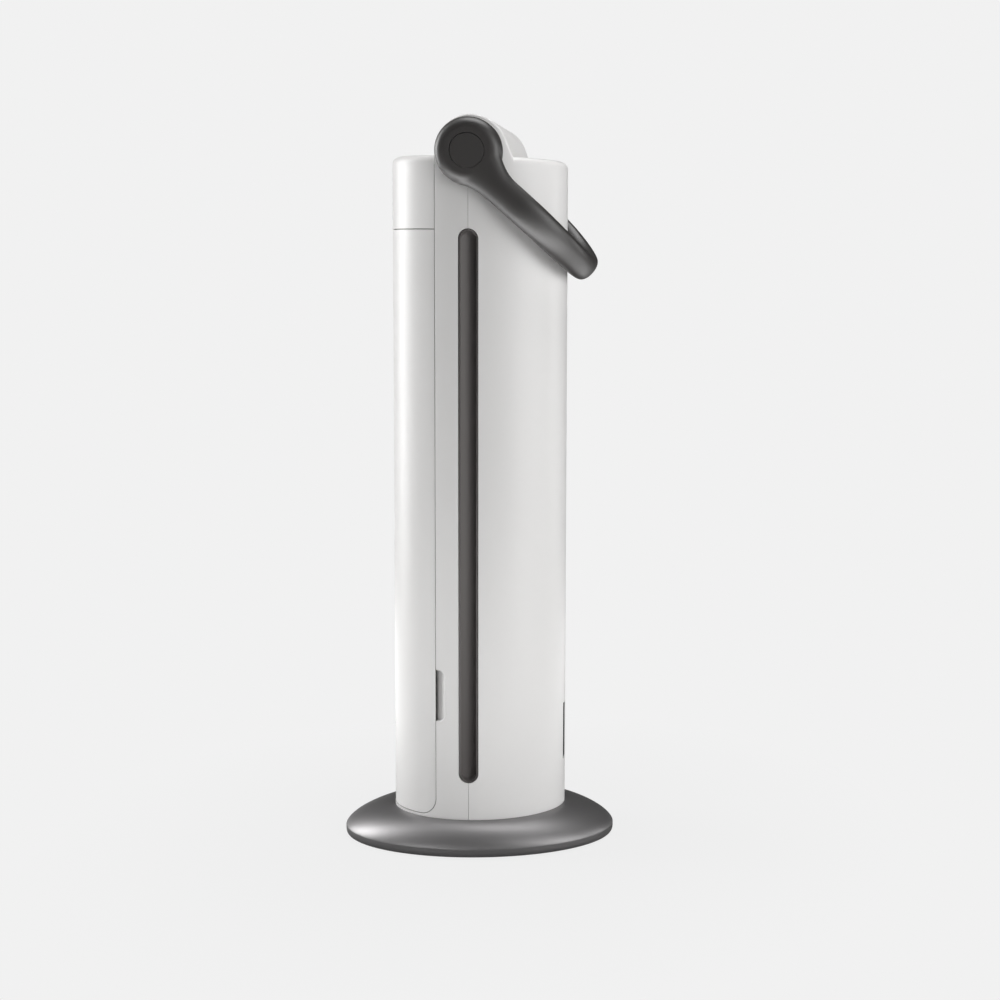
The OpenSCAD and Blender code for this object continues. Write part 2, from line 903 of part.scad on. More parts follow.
module fan_wheel() {
    spacing = (fan_top - fan_bottom) / 5;
    color("#55585c")
        difference() {
            union() {
                for (k = [0:5])
                    post(fan_r, 0, fan_y, fan_bottom + k * (fan_top - fan_bottom - 1.6) / 5,
                        fan_bottom + k * (fan_top - fan_bottom - 1.6) / 5 + 1.6);
                translate([0, fan_y, fan_bottom])
                    linear_extrude(fan_top - fan_bottom)
                        for (i = [0:blade_count - 1])
                            rotate(i * 360 / blade_count)
                                translate([fan_r - blade_w - 0.4, 0])
                                    rotate(28)
                                        translate([0, -0.6])
                                            square([blade_w - 0.4, 1.2]);
                post(6, 0, fan_y, fan_bottom, fan_bottom + 9);
                post(6, 0, fan_y, fan_top - 9, fan_top);
            }
            post(shaft_r, 0, fan_y, fan_bottom - 1, fan_bottom + 10);
            post(shaft_r, 0, fan_y, fan_top - 10, fan_top + 1);
            for (k = [0:3])
                post(fan_r - blade_w - 0.8, 0, fan_y, fan_bottom + 10 + k * spacing, fan_bottom + 10 + (k + 1) * spacing);
        }
}

module fan_shafts() {
    color("silver") {
        post(shaft_r, 0, fan_y, duct_bottom - 17, fan_bottom + 10);
        post(shaft_r, 0, fan_y, fan_top - 10, duct_top + 8.5);
    }
}

// ---- Electronics ----

module main_board() {
    low = duct_top + 2;
    color("darkgreen")
        block([-32, 32], [-4, -2.4], [low + 6, low + 52]);
    color("#d8d8d0")
        for (x = [-1, 1])
            block([x * 26 - 4, x * 26 + 4], [-9, -4], [low, low + 16]);
    color("#2a2a2a") {
        block([-22, 0], [-2.4, 12], [low + 12, low + 30]);
        for (x = [10, 22])
            translate([x, 4, low + 14])
                cylinder(r = 5, h = 18, $fn = 48);
        block([6, 26], [-2.4, 3], [low + 14, low + 46]);
    }
}

module ioniser() {
    low = duct_top + 2;
    color("#e6e6e2")
        block([-20, 20], [-19.5, -11], [low, low + 11]);
    color("silver")
        for (x = [-1, 1])
            translate([x * 20, -15, low + 6])
                rotate([0, x * 90, 0])
                    cylinder(r = 0.8, h = 9, $fn = 24);
}

// ---- Power inlet ----

module recess_shape(play) {
    w = recess_w - 2 * play;
    r = 2.5;
    for (inset = [[0, r], [r, 0]])
        translate([-w / 2 + inset[0], recess_bottom + play + inset[1]])
            square([w - 2 * inset[0], recess_h - 2 * play - 2 * inset[1]]);
    for (x = [-1, 1], z = [recess_bottom + play + r, recess_top - play - r])
        translate([x * (w / 2 - r), z])
            circle(r = r, $fn = 48);
}

module socket_shape(w, h) {
    translate([-w / 2, recess_bottom + 16])
        square([w, h]);
}

module inlet_bezel() {
    back = body_d / 2 - recess_depth;
    color("#2f3032")
        difference() {
            union() {
                lengthwise(back - 1.6, body_d / 2 - 1)
                    recess_shape(0.15);
                lengthwise(body_d / 2 - wall - 3.2, body_d / 2 - wall - 1.4)
                    recess_shape(-3);
            }
            lengthwise(back, body_d)
                recess_shape(1.4);
            lengthwise(back - 4, back + 1)
                socket_shape(7.4, 20.4);
        }
}

module power_socket() {
    back = body_d / 2 - recess_depth;
    color("#151515")
        difference() {
            union() {
                lengthwise(back - 1.6, back + 4)
                    socket_shape(7, 20);
                lengthwise(back - 4, back - 1.6)
                    socket_shape(11, 24);
            }
            lengthwise(back - 2.4, back + 5)
                translate([-2.2, recess_bottom + 18])
                    square([4.4, 16]);
        }
    color("gold")
        for (z = [22, 30])
            long_rod(1, 0, recess_bottom + z, back - 3, back + 3);
}

// ---- Handle ----

module axle_bushes() {
    color("#1f1f20")
        for (side = [0, 1])
            mirror([side, 0, 0])
                difference() {
                    union() {
                        cross_rod(bush_r, hump_wall_in - 7, bush_in);
                        cross_rod(bush_r + bush_flange, bush_in, hub_in - seat_gap);
                    }
                    cross_rod(axle_r + axle_play, 0, body_w);
                }
}

// Half height of the arm at a distance from the axle: it falls from the hub to the arm in an arc.
blend_r = 50;
blend_end = sqrt(pow(hub_r + blend_r, 2) - pow(arm_h + blend_r, 2));
function arm_half(u) = u > blend_end ? arm_h : arm_h + blend_r - sqrt(pow(blend_r, 2) - pow(blend_end - u, 2));
arm_x = hub_in + hub_t / 2;

// A station of the loop: [across, along, level, half height, half thickness, direction outwards].
function arm_station(u) =
    let (s = min(1, u / blend_end))
    [arm_x, u, -arm_drop * s * s * (3 - 2 * s), arm_half(u) * (u < blend_end ? 0.93 + 0.07 * s : 1),
        hub_t / 2 + (arm_r - hub_t / 2) * s, 0];
function bend_station(a) = [
    arm_x * cos(a), bend_start + bend_length * sin(a), -arm_drop - grip_drop * pow(sin(a), 2),
    arm_h + (grip_h - arm_h) * pow(sin(a), 2), arm_r + (grip_r - arm_r) * pow(sin(a), 2),
    atan2(sin(a) / bend_length, cos(a) / arm_x)
];
near_arm = [for (u = [12, 18, 24, 30, 36, 42, 50]) arm_station(u)];
loop_end = [for (a = [0:7.5:180]) bend_station(a)];
far_arm = [for (i = [len(near_arm) - 1:-1:0]) let (s = near_arm[i]) [-s[0], s[1], s[2], s[3], s[4], 180]];
stations = concat(near_arm, loop_end, far_arm);
ring = 20;

function ring_point(s, i) =
    let (c = cos(360 * i / ring), n = sin(360 * i / ring), r = s[4] * sign(c) * pow(abs(c), 0.8))
    [s[0] + r * cos(s[5]), s[1] + r * sin(s[5]), s[2] + s[3] * sign(n) * pow(abs(n), 0.9)];

module loop_bar() {
    count = len(stations);
    points = [for (s = stations) for (i = [0:ring - 1]) ring_point(s, i)];
    start = [[for (i = [ring - 1:-1:0]) i]];
    end = [[for (i = [0:ring - 1]) (count - 1) * ring + i]];
    walls = [for (k = [0:count - 2]) for (i = [0:ring - 1]) for (half = [0, 1])
        let (a = k * ring + i, b = k * ring + (i + 1) % ring)
        half == 0 ? [a, b + ring, a + ring] : [a, b, b + ring]];
    polyhedron(points, concat(start, end, walls), convexity = 8);
}

module hub() {
    edge = [hub_r - hub_soft, hub_t - hub_soft];
    translate([hub_in, 0, 0])
        rotate([0, 90, 0])
            rotate_extrude($fn = round_fn)
                polygon([
                    [0, 0],
                    [hub_r, 0],
                    for (a = [0:7.5:90]) edge + hub_soft * [cos(a), sin(a)],
                    [0, hub_t]
                ]);
}

module handle() {
    color("#5e5c5b")
        difference() {
            translate([0, pivot_y, pivot_z])
                rotate([-rest_angle, 0, 0])
                    union() {
                        loop_bar();
                        hub();
                        mirror([1, 0, 0])
                            hub();
                    }
            for (side = [0, 1])
                mirror([side, 0, 0]) {
                    cross_rod(axle_r + touch, 0, hub_out - cap_t - 3.6);
                    cross_rod(2.1, 0, hub_out + 1);
                    cross_rod(5, hub_out - cap_t - 2, hub_out + 1);
                    cross_rod(cap_r + 0.2, hub_out - cap_t - 0.3, hub_out + 1);
                }
        }
}

module handle_axle() {
    end = hub_out - cap_t - 3.6;
    color("silver")
        difference() {
            cross_rod(axle_r, -end, end);
            for (side = [0, 1])
                mirror([side, 0, 0])
                    cross_rod(2, end - 12, end + 1);
        }
}

module axle_screws() {
    head = hub_out - cap_t - 2;
    color("silver")
        for (side = [0, 1])
            mirror([side, 0, 0]) {
                cross_rod(2, head - 12, head + touch);
                cross_rod(4.4, head, head + 1.6);
            }
}

module hub_cap() {
    cross_rod(cap_r, hub_out - cap_t - 0.3, hub_out - 0.3);
}

module hub_cap_right() {
    color("#403f3e")
        hub_cap();
}

module hub_cap_left() {
    color("#403f3e")
        mirror([1, 0, 0])
            hub_cap();
}

// ---- Door ----

module front_door() {
    color("#f3f3f2")
        difference() {
            union() {
                intersection() {
                    difference() {
                        prism(body_w - 2 * door_inset, body_d - 0.6, deck_z, panel_line - door_gap / 2);
                        prism(body_w - 2 * (door_inset + wall), body_d - 0.6 - 2 * wall, 0, panel_line - wall);
                    }
                    across(2 * body_w)
                        front_region(-door_gap, door_bottom - door_gap);
                }
                for (x = [-1, 1], z = peg_z) {
                    long_rod(peg_r, x * peg_x, z, -door_line - 12, -door_line + peg_reach - 3);
                    peg_block(x, z);
                }
            }
            lengthwise(-body_d, -body_d / 4)
                slot_shape(slot_w, inlet_bottom, inlet_top);
        }
}

// The block that carries a peg on the door's inner wall.
module peg_block(x, z) {
    intersection() {
        prism(body_w - 2 * door_inset - wall, body_d - 0.6 - wall, 0, body_top);
        block([x > 0 ? peg_x - 3.5 : -body_w, x > 0 ? body_w : 3.5 - peg_x],
            [-door_line - 14, -door_line - 6], [z - 3.5, z + 3.5]);
    }
}

module door_grille() {
    w = slot_w - 2 * liner_play;
    low = inlet_bottom + liner_play;
    high = inlet_top - liner_play;
    bars = floor((high - low - slot_w) / grille_pitch);
    front = front_y + 1.2;
    color("#4c4b4b")
        difference() {
            union() {
                lengthwise(front, front + 6)
                    slot_shape(w, low, high);
                lengthwise(front + wall + 1, front + wall + 2.8)
                    slot_shape(w + 2 * liner_flange, low - liner_flange, high + liner_flange);
            }
            for (i = [0:bars - 1])
                block([-w / 2 + liner_wall, w / 2 - liner_wall], [-body_d, -body_d / 4],
                    [low + slot_w / 2 + grille_pitch * i + 1, low + slot_w / 2 + grille_pitch * (i + 1) - 1]);
        }
}

// ---- Filter ----

module filter_frame() {
    color("#e2e4e4")
        difference() {
            block([-filter_w / 2, filter_w / 2], [filter_front, filter_back], [filter_bottom, filter_top]);
            block([filter_wall - filter_w / 2, filter_w / 2 - filter_wall], [filter_front - 1, filter_back - 2],
                [filter_bottom + filter_wall, filter_top - filter_wall]);
            block([6 - filter_w / 2, filter_w / 2 - 6], [filter_front, filter_back + 1],
                [filter_bottom + 8, filter_top - 8]);
        }
}

// Folded paper, drawn from above.
module filter_pleats() {
    inner = filter_w - 2 * filter_wall - 0.4;
    step = inner / pleats;
    near = filter_front + carbon_t + 1.2;
    far = filter_back - 2.3;
    edge = [for (i = [0:pleats]) [-inner / 2 + i * step, i % 2 == 0 ? near : far - paper_t * 2]];
    back_edge = [for (i = [pleats:-1:0]) edge[i] + [0, paper_t * 2]];
    color("#f7f6ee")
        translate([0, 0, filter_bottom + filter_wall + 0.2])
            linear_extrude(filter_h - 2 * filter_wall - 0.4)
                polygon(concat(edge, back_edge));
}

module carbon_sheet() {
    half = filter_w / 2 - filter_wall - 0.2;
    color("#1c1c1c")
        block([-half, half], [filter_front + 0.8, filter_front + 0.8 + carbon_t],
            [filter_bottom + filter_wall + 0.2, filter_top - filter_wall - 0.2]);
}

module pull_tab() {
    z = filter_bottom + filter_h / 2;
    color("#3f6fae")
        difference() {
            block([-9, 9], [filter_front - 7, filter_front + 0.8], [z - 0.8, z + 0.8]);
            block([-6, 6], [filter_front - 5, filter_front - 2], [z - 2, z + 2]);
        }
}

base_shell();
base_plate();
ballast();
rubber_feet();
base_screws();
plate_screws();
front_shell();
rear_shell();
shell_screws();
foot_frame();
control_panel();
indicator_lens();
display_board();
outlet_liner_right();
outlet_liner_left();
filter_bulkhead();
air_duct();
motor_bracket();
fan_motor();
bearing_plate();
main_board();
ioniser();
inlet_bezel();
power_socket();
axle_bushes();
handle();
handle_axle();
axle_screws();
hub_cap_right();
hub_cap_left();
fan_wheel();
fan_shafts();
front_door();
door_grille();
filter_frame();
filter_pleats();
carbon_sheet();
pull_tab();
power_button();
speed_button();
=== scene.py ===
# %% [markdown]
# # A tower air purifier
# A slim oval column of white plastic stands on a flat grey base, and a carry handle lies over its back.
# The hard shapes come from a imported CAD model, in metres, with +Z up and the door at -Y.
# This lesson gives that model its looks: a studio, finishes made of nodes, and covers with soft edges.

# %% Load the fixed model
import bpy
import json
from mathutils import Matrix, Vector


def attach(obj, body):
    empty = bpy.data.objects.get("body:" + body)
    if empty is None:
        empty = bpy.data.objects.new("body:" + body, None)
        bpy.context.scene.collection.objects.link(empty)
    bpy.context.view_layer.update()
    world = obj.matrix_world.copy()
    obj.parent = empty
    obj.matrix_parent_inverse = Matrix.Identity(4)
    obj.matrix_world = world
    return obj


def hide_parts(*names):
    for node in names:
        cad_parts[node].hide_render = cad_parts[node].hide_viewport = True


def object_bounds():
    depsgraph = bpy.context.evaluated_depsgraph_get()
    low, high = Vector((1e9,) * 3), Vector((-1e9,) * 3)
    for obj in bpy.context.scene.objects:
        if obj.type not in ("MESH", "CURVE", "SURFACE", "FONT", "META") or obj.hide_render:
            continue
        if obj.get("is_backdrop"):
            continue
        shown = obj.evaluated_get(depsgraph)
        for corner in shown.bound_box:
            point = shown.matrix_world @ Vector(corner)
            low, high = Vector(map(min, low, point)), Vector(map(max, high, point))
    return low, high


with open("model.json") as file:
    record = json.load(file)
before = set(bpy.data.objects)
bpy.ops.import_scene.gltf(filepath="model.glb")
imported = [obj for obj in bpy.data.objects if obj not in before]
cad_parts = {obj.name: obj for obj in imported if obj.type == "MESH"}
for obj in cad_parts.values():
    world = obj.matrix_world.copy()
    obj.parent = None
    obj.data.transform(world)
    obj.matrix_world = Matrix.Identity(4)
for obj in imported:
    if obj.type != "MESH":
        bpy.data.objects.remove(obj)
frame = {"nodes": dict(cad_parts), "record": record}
print("CAD nodes loaded:", len(frame["nodes"]))

# %% Tools and first measurements
import json
from math import atan2, cos, pi, radians, sin, sqrt

import bmesh
import bpy
from mathutils import Matrix, Vector

MM = 0.001


def whole_box():
    """The low and the high corner of all that is visible, as plain numbers."""
    return [[float(number) for number in corner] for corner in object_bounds()]


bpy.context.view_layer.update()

# %% [markdown]
# ## The camera
# The camera stands at the right side of the purifier, a little above its middle, and the lens is shifted so that
# the column stands upright near the middle of the picture. Turning the camera instead would make the column lean.

# %% Set the camera
lens = bpy.data.cameras.new("camera")
lens.sensor_width = 36
lens.lens = 56.565
lens.shift_x = -0.31
lens.shift_y = -0.045
camera = bpy.data.objects.new("camera", lens)
camera.location = (1.3462, 0.2517, 0.4753)
camera.rotation_euler = [radians(angle) for angle in (84.134, -1.224, 88.815)]
bpy.context.scene.collection.objects.link(camera)
bpy.context.scene.camera = camera
bpy.context.scene.view_settings.view_transform = "Standard"
print("the camera's lens is", lens.lens, "mm")

# %% [markdown]
# ## Numbers that vary over a surface
# A finish is a small network of nodes. Written link by link it is hard to read, so one small class wraps a
# socket and lets ordinary arithmetic add the Math nodes: `1 - mask` or `0.4 + 0.1 * noise` build themselves.


# %% A number that varies
class Number:
    """A value that changes over a surface. Arithmetic on it adds Math nodes to its finish."""

    def __init__(self, finish, socket):
        self.finish = finish
        self.socket = socket

    def work(self, operation, first, second=0.0):
        made = self.finish.node("ShaderNodeMath", {"operation": operation}, {0: first, 1: second})
        return Number(self.finish, made.outputs[0])

    def __add__(self, other):
        return self.work("ADD", self, other)

    def __radd__(self, other):
        return self.work("ADD", other, self)

    def __sub__(self, other):
        return self.work("SUBTRACT", self, other)

    def __rsub__(self, other):
        return self.work("SUBTRACT", other, self)

    def __mul__(self, other):
        return self.work("MULTIPLY", self, other)

    def __rmul__(self, other):
        return self.work("MULTIPLY", other, self)

    def above(self, level):
        """1 where the value lies above the level, else 0."""
        return self.work("GREATER_THAN", self, level)

    def at_least(self, level):
        return self.work("MAXIMUM", self, level)

    def between(self, low, high):
        """1 where the value lies between low and high, else 0."""
        return self.above(low) * (1 - self.above(high))

    def held(self):
        """The same value, held between 0 and 1."""
        return self.work("MINIMUM", self.at_least(0.0), 1.0)


# %% [markdown]
# ## Finishes
# A finish starts from one Principled shader. What is the same all over, such as the base roughness or the metal,
# is set on the shader's own sockets. What varies comes from noise in object space, in real millimetres, so that a
# grain keeps its size on every piece.


# %% A network of nodes
class Network:
    """A node tree that takes new nodes with their settings and inputs in one call."""

    def __init__(self, tree):
        self.tree = tree

    def node(self, kind, settings=None, inputs=None):
        made = self.tree.nodes.new(kind)
        for name, value in (settings or {}).items():
            setattr(made, name, value)
        for name, value in (inputs or {}).items():
            self.feed(made, name, value)
        return made

    def feed(self, node, name, value):
        """Links a value to a node's input, or sets it there if it is a plain number or colour."""
        if isinstance(value, Number):
            value = value.socket
        if isinstance(value, bpy.types.NodeSocket):
            self.tree.links.new(value, node.inputs[name])
        else:
            node.inputs[name].default_value = value


# %% A finish
class Finish(Network):
    """One material: a Principled shader with a few nodes in front of it."""

    def __init__(self, name, colour, roughness, **constants):
        self.material = bpy.data.materials.new(name)
        self.material.use_nodes = True
        super().__init__(self.material.node_tree)
        self.shader = self.tree.nodes["Principled BSDF"]
        self.colour = (*colour, 1.0)
        self.set("Base Color", self.colour)
        self.set("Roughness", roughness)
        for socket, value in constants.items():
            self.set(socket.replace("_", " "), value)
        self.place = self.node("ShaderNodeTexCoord").outputs["Object"]

    def set(self, socket, value):
        self.feed(self.shader, socket, value)

    def stretched(self, stretch=(1.0, 1.0, 1.0), turn=(0.0, 0.0, 0.0)):
        """The place on the piece, stretched and turned before a pattern reads it."""
        made = self.node("ShaderNodeMapping", inputs={"Vector": self.place, "Scale": stretch, "Rotation": turn})
        return made.outputs[0]

    def axes(self):
        """How far along X, Y and Z a point of the piece lies, in metres."""
        made = self.node("ShaderNodeSeparateXYZ", inputs={0: self.place})
        return [Number(self, output) for output in made.outputs]

    def noise(self, grain, detail=2.0, stretch=(1.0, 1.0, 1.0)):
        """Soft noise from 0 to 1 whose patches are about `grain` metres wide."""
        made = self.node(
            "ShaderNodeTexNoise",
            inputs={"Vector": self.stretched(stretch), "Scale": 1 / grain, "Detail": detail},
        )
        return Number(self, made.outputs[0])

    def cells(self, size, output):
        """Voronoi cells about `size` metres wide: their distance or their colour."""
        made = self.node("ShaderNodeTexVoronoi", inputs={"Vector": self.stretched(), "Scale": 1 / size})
        return made.outputs[output]

    def blend(self, factor, first, second):
        """A colour between two colours."""
        made = self.node("ShaderNodeMix", {"data_type": "RGBA"}, {0: factor, 6: first, 7: second})
        return made.outputs[2]

    def shades(self, factor, darker, lighter):
        """Varies the base colour between a darker and a lighter share of itself."""
        low = tuple(part * darker for part in self.colour[:3]) + (1.0,)
        high = tuple(min(1.0, part * lighter) for part in self.colour[:3]) + (1.0,)
        self.set("Base Color", self.blend(factor, low, high))

    def relief(self, height, depth):
        """A bump up to `depth` metres high."""
        made = self.node("ShaderNodeBump", inputs={"Height": height, "Distance": depth, "Strength": 1.0})
        self.set("Normal", made.outputs[0])

    def tell(self):
        print(self.material.name, "has", len(self.tree.nodes), "nodes")


# %% [markdown]
# ## Moulded plastics
# Most of the purifier is moulded plastic with a satin skin. On the real thing the mould leaves a fine, even
# grain, and the colour drifts by a percent or two over a hand's width. Both come from noise: a coarse one tints
# the colour and the roughness, and a fine one is the grain in the relief.

# %% Satin plastic
PATCH = 0.07


def satin_plastic(name, colour, roughness, drift=0.03, grain=0.0006, depth=0.000012, **constants):
    made = Finish(name, colour, roughness, **constants)
    patches = made.noise(PATCH, 3.0)
    skin = made.noise(grain)
    made.shades(patches, 1 - drift, 1 + drift)
    made.set("Roughness", roughness - 0.03 + 0.04 * patches + 0.02 * skin)
    made.relief(skin, depth)
    return made


white_cover = satin_plastic("white_cover", (0.80, 0.792, 0.784), 0.38, drift=0.012, depth=0.000006)
graphite_plastic = satin_plastic("graphite_plastic", (0.088, 0.08, 0.077), 0.5, drift=0.05)
handle_plastic = satin_plastic("handle_plastic", (0.026, 0.024, 0.023), 0.42, drift=0.05, Specular_IOR_Level=0.75)
base_plastic = satin_plastic("base_plastic", (0.235, 0.23, 0.232), 0.43, drift=0.04, Metallic=0.75)
inner_plastic = satin_plastic("inner_plastic", (0.40, 0.41, 0.42), 0.5, grain=0.0009, depth=0.00002)
dark_plastic = satin_plastic("dark_plastic", (0.022, 0.022, 0.024), 0.48, drift=0.1, grain=0.0009, depth=0.00002)
button_plastic = satin_plastic("button_plastic", (0.30, 0.305, 0.31), 0.4, drift=0.04)
tab_plastic = satin_plastic("pull_tab_plastic", (0.04, 0.12, 0.36), 0.42, drift=0.06)
graphite_plastic.tell()

# %% [markdown]
# ## Painted shade on the insides
# The inner faces of the white covers get a grey, which is painted shade: it stands in for the shadow in the gaps
# and slots, so that a gap or a slot reads as a dark line and doesn't glow. A mask picks the inner faces by their
# place: 1 within the oval that runs through the middle of the walls and below the top, but 0 in the two finger
# notches, which reach deeper than that oval and stay white.

# %% Paint shade on the inner faces
INSIDE_X, INSIDE_Y, INSIDE_TOP = 0.0538, 0.0718, 0.5735
NOTCH_LEVELS, NOTCH_PLACES = (0.1112, 0.1553), (-0.0279, -0.019)
# The grey of the painted shade in the gaps and slots, not the plastic's own colour.
PAINTED_GAP_SHADE = (0.30, 0.29, 0.28, 1.0)

across, along, level = white_cover.axes()
oval = across * across * (1 / INSIDE_X**2) + along * along * (1 / INSIDE_Y**2)
in_notch = level.between(*NOTCH_LEVELS) * along.between(*NOTCH_PLACES)
# Where the painted shade goes: the inner faces, which lie in shadow behind the gaps and slots.
inside = (1 - oval.above(1.0)) * (1 - level.above(INSIDE_TOP)) * (1 - in_notch)
skin_colour = white_cover.shader.inputs["Base Color"].links[0].from_socket
white_cover.set("Base Color", white_cover.blend(inside, skin_colour, PAINTED_GAP_SHADE))
white_cover.tell()

# %% [markdown]
# ## Rubber, steel and the rest
# Rubber is dark and rough with a mottled relief. Turned steel shows fine lines, which is noise drawn out along one
# direction. Zinc-plated sheet shows flat crystals, which are Voronoi cells that differ a little in roughness.

# %% Rubber
rubber = Finish("rubber", (0.02, 0.02, 0.02), 0.8)
rubber_skin = rubber.noise(0.0012, 4.0)
rubber.shades(rubber_skin, 0.7, 1.4)
rubber.relief(rubber_skin, 0.0001)
rubber.tell()

# %% Steel bars and screws
steel = Finish("steel", (0.56, 0.56, 0.57), 0.28, Metallic=1.0)
lines = steel.noise(0.0006, stretch=(0.05, 1.0, 1.0))
stains = steel.noise(0.02, 3.0)
steel.shades(stains, 0.85, 1.1)
steel.set("Roughness", 0.2 + 0.12 * lines + 0.08 * stains)
steel.relief(lines, 0.00001)
steel.tell()

# %% Zinc-plated sheet
sheet_steel = Finish("sheet_steel", (0.48, 0.49, 0.5), 0.35, Metallic=1.0)
crystals = sheet_steel.cells(0.006, "Color")
channels = sheet_steel.node("ShaderNodeSeparateColor", inputs={0: crystals})
flake = Number(sheet_steel, channels.outputs[0])
sheet_steel.shades(flake, 0.8, 1.15)
sheet_steel.set("Roughness", 0.28 + 0.18 * flake)
sheet_steel.tell()

# %% [markdown]
# ## The circuit board
# A board is green lacquer over copper tracks. A brick pattern with thin joints stands for the tracks, which lie a
# little proud, and small round cells stand for the solder points.

# %% Circuit board
circuit_board = Finish("circuit_board", (0.012, 0.10, 0.045), 0.35, Coat_Weight=0.3)
joints = circuit_board.node(
    "ShaderNodeTexBrick",
    {"offset": 0.37, "squash": 0.6, "squash_frequency": 3},
    {
        "Vector": circuit_board.stretched(turn=(pi / 2, 0.0, 0.0)),
        "Scale": 180.0,
        "Mortar Size": 0.06,
        "Mortar Smooth": 0.3,
    },
)
tracks = Number(circuit_board, joints.outputs["Fac"])
dots = 1 - Number(circuit_board, circuit_board.cells(0.005, "Distance")).above(0.22)
lacquer = circuit_board.blend(tracks, (0.010, 0.085, 0.04, 1.0), (0.035, 0.19, 0.08, 1.0))
circuit_board.set("Base Color", circuit_board.blend(dots, lacquer, (0.55, 0.55, 0.52, 1.0)))
circuit_board.set("Roughness", 0.38 - 0.14 * dots)
circuit_board.relief(tracks + dots, 0.00008)
circuit_board.tell()

# %% [markdown]
# ## Paper, felt and the lens
# Filter paper is made of matted fibres, so two stretched noises cross. Carbon felt is black with coarse tufts.
# The lens is frosted, so it lets light through only softly.

# %% Filter paper
filter_paper = Finish("filter_paper", (0.84, 0.83, 0.78), 0.9)
FIBRE = 0.0008
upright = filter_paper.noise(FIBRE, 4.0, stretch=(1.0, 1.0, 0.25))
lying = filter_paper.noise(FIBRE, 4.0, stretch=(0.3, 1.0, 1.0))
fibres = upright * lying
filter_paper.shades(fibres, 0.85, 1.08)
filter_paper.relief(fibres, 0.00006)
filter_paper.tell()

# %% Carbon felt
carbon_felt = Finish("carbon_felt", (0.016, 0.016, 0.017), 0.95)
tufts = carbon_felt.noise(0.0015, 5.0)
carbon_felt.shades(tufts, 0.4, 1.9)
carbon_felt.relief(tufts, 0.0003)
carbon_felt.tell()

# %% Frosted lens
frosted_lens = Finish("lens", (0.80, 0.88, 0.93), 0.45, Transmission_Weight=0.35)
frost = frosted_lens.noise(0.0004)
frosted_lens.shades(frosted_lens.noise(0.004), 0.95, 1.05)
frosted_lens.set("Roughness", 0.4 + 0.12 * frost)
frosted_lens.tell()

# %% [markdown]
# ## Dress the CAD nodes
# Each CAD node carries the name of a material slot in its record. The finishes above have the same names, so a
# small table does for all of them. Their meshes stay as they are, and only the material changes.

# %% Finish by slot
finish_of_slot = {
    "white_cover": white_cover,
    "graphite_plastic": graphite_plastic,
    "handle_plastic": handle_plastic,
    "base_plastic": base_plastic,
    "inner_plastic": inner_plastic,
    "dark_plastic": dark_plastic,
    "button_plastic": button_plastic,
    "pull_tab_plastic": tab_plastic,
    "rubber": rubber,
    "steel": steel,
    "sheet_steel": sheet_steel,
    "circuit_board": circuit_board,
    "filter_paper": filter_paper,
    "carbon_felt": carbon_felt,
    "lens": frosted_lens,
}
slot_of_node = {part["node"]: part["material_slot"] for part in frame["record"]["subparts"]}
bodies = frame["record"]["behaviour"]["bodies"]
body_of_node = {node: body for body, nodes in bodies.items() for node in nodes}


def paint(piece, slot):
    """Gives a piece the finish of a slot, on its object's own material slot."""
    if not piece.material_slots:
        piece.data.materials.append(None)
    for place in piece.material_slots:
        place.material = finish_of_slot[slot].material


for node, piece in frame["nodes"].items():
    paint(piece, slot_of_node[node])
print("CAD nodes painted:", len(frame["nodes"]), "in", len(finish_of_slot), "finishes")

# %% [markdown]
# ## From a drawing to a piece
# The purifier's sizes are written in millimetres, as on a drawing. One helper turns a finished bmesh into an
# object in metres, and two more let one piece carve another and keep the result as a plain mesh. Live modifiers
# would work too, but then every cutting tool would have to stay in the scene.


# %% Make, carve and settle
def new_piece(name, shape):
    """Turns a bmesh in millimetres into an object in metres."""
    bmesh.ops.scale(shape, vec=(MM, MM, MM), verts=shape.verts)
    mesh = bpy.data.meshes.new(name)
    shape.to_mesh(mesh)
    shape.free()
    piece = bpy.data.objects.new(name, mesh)
    bpy.context.scene.collection.objects.link(piece)
    return piece


def settle(piece):
    """Makes the result of the modifiers the piece's own mesh."""
    graph = bpy.context.evaluated_depsgraph_get()
    graph.update()
    result = bpy.data.meshes.new_from_object(piece.evaluated_get(graph))
    piece.modifiers.clear()
    piece.data = result


def carve(piece, *tools, operation="DIFFERENCE"):
    """Takes tools away from a piece, joins them to it, or keeps only what they share."""
    for tool in tools:
        step = piece.modifiers.new("carve", "BOOLEAN")
        step.operation = operation
        step.solver = "EXACT"
        step.object = tool
    settle(piece)
    for tool in tools:
        bpy.data.objects.remove(tool)


def twin(piece, name):
    """A second piece with the same mesh."""
    copy = bpy.data.objects.new(name, piece.data.copy())
    bpy.context.scene.collection.objects.link(copy)
    return copy


# %% [markdown]
# ## Soft edges
# Moulded plastic has no knife edges: each rim carries a radius of half a millimetre or so that catches the light
# as a thin bright line. A Bevel modifier over everything would also round the joints of the carving, so the
# helper bevels only the edges that a rule picks out.

# %% Soften chosen edges
WELD = 0.000001
SHARP_EDGE = radians(35)


def soften(piece, chosen, width, steps=3, clamp=True):
    """Bevels the sharp edges whose middle, in millimetres, passes the rule."""
    shape = bmesh.new()
    shape.from_mesh(piece.data)
    bmesh.ops.remove_doubles(shape, verts=shape.verts, dist=WELD)
    rims = [
        edge
        for edge in shape.edges
        if edge.is_manifold
        and edge.calc_face_angle(0.0) > SHARP_EDGE
        and chosen(*((edge.verts[0].co + edge.verts[1].co) / (2 * MM)))
    ]
    bmesh.ops.bevel(
        shape, geom=rims, affect="EDGES", offset=width * MM, segments=steps, profile=0.5, material=-1,
        clamp_overlap=clamp,
    )
    shape.to_mesh(piece.data)
    shape.free()
    print(piece.name, "has", len(rims), "softened edges")


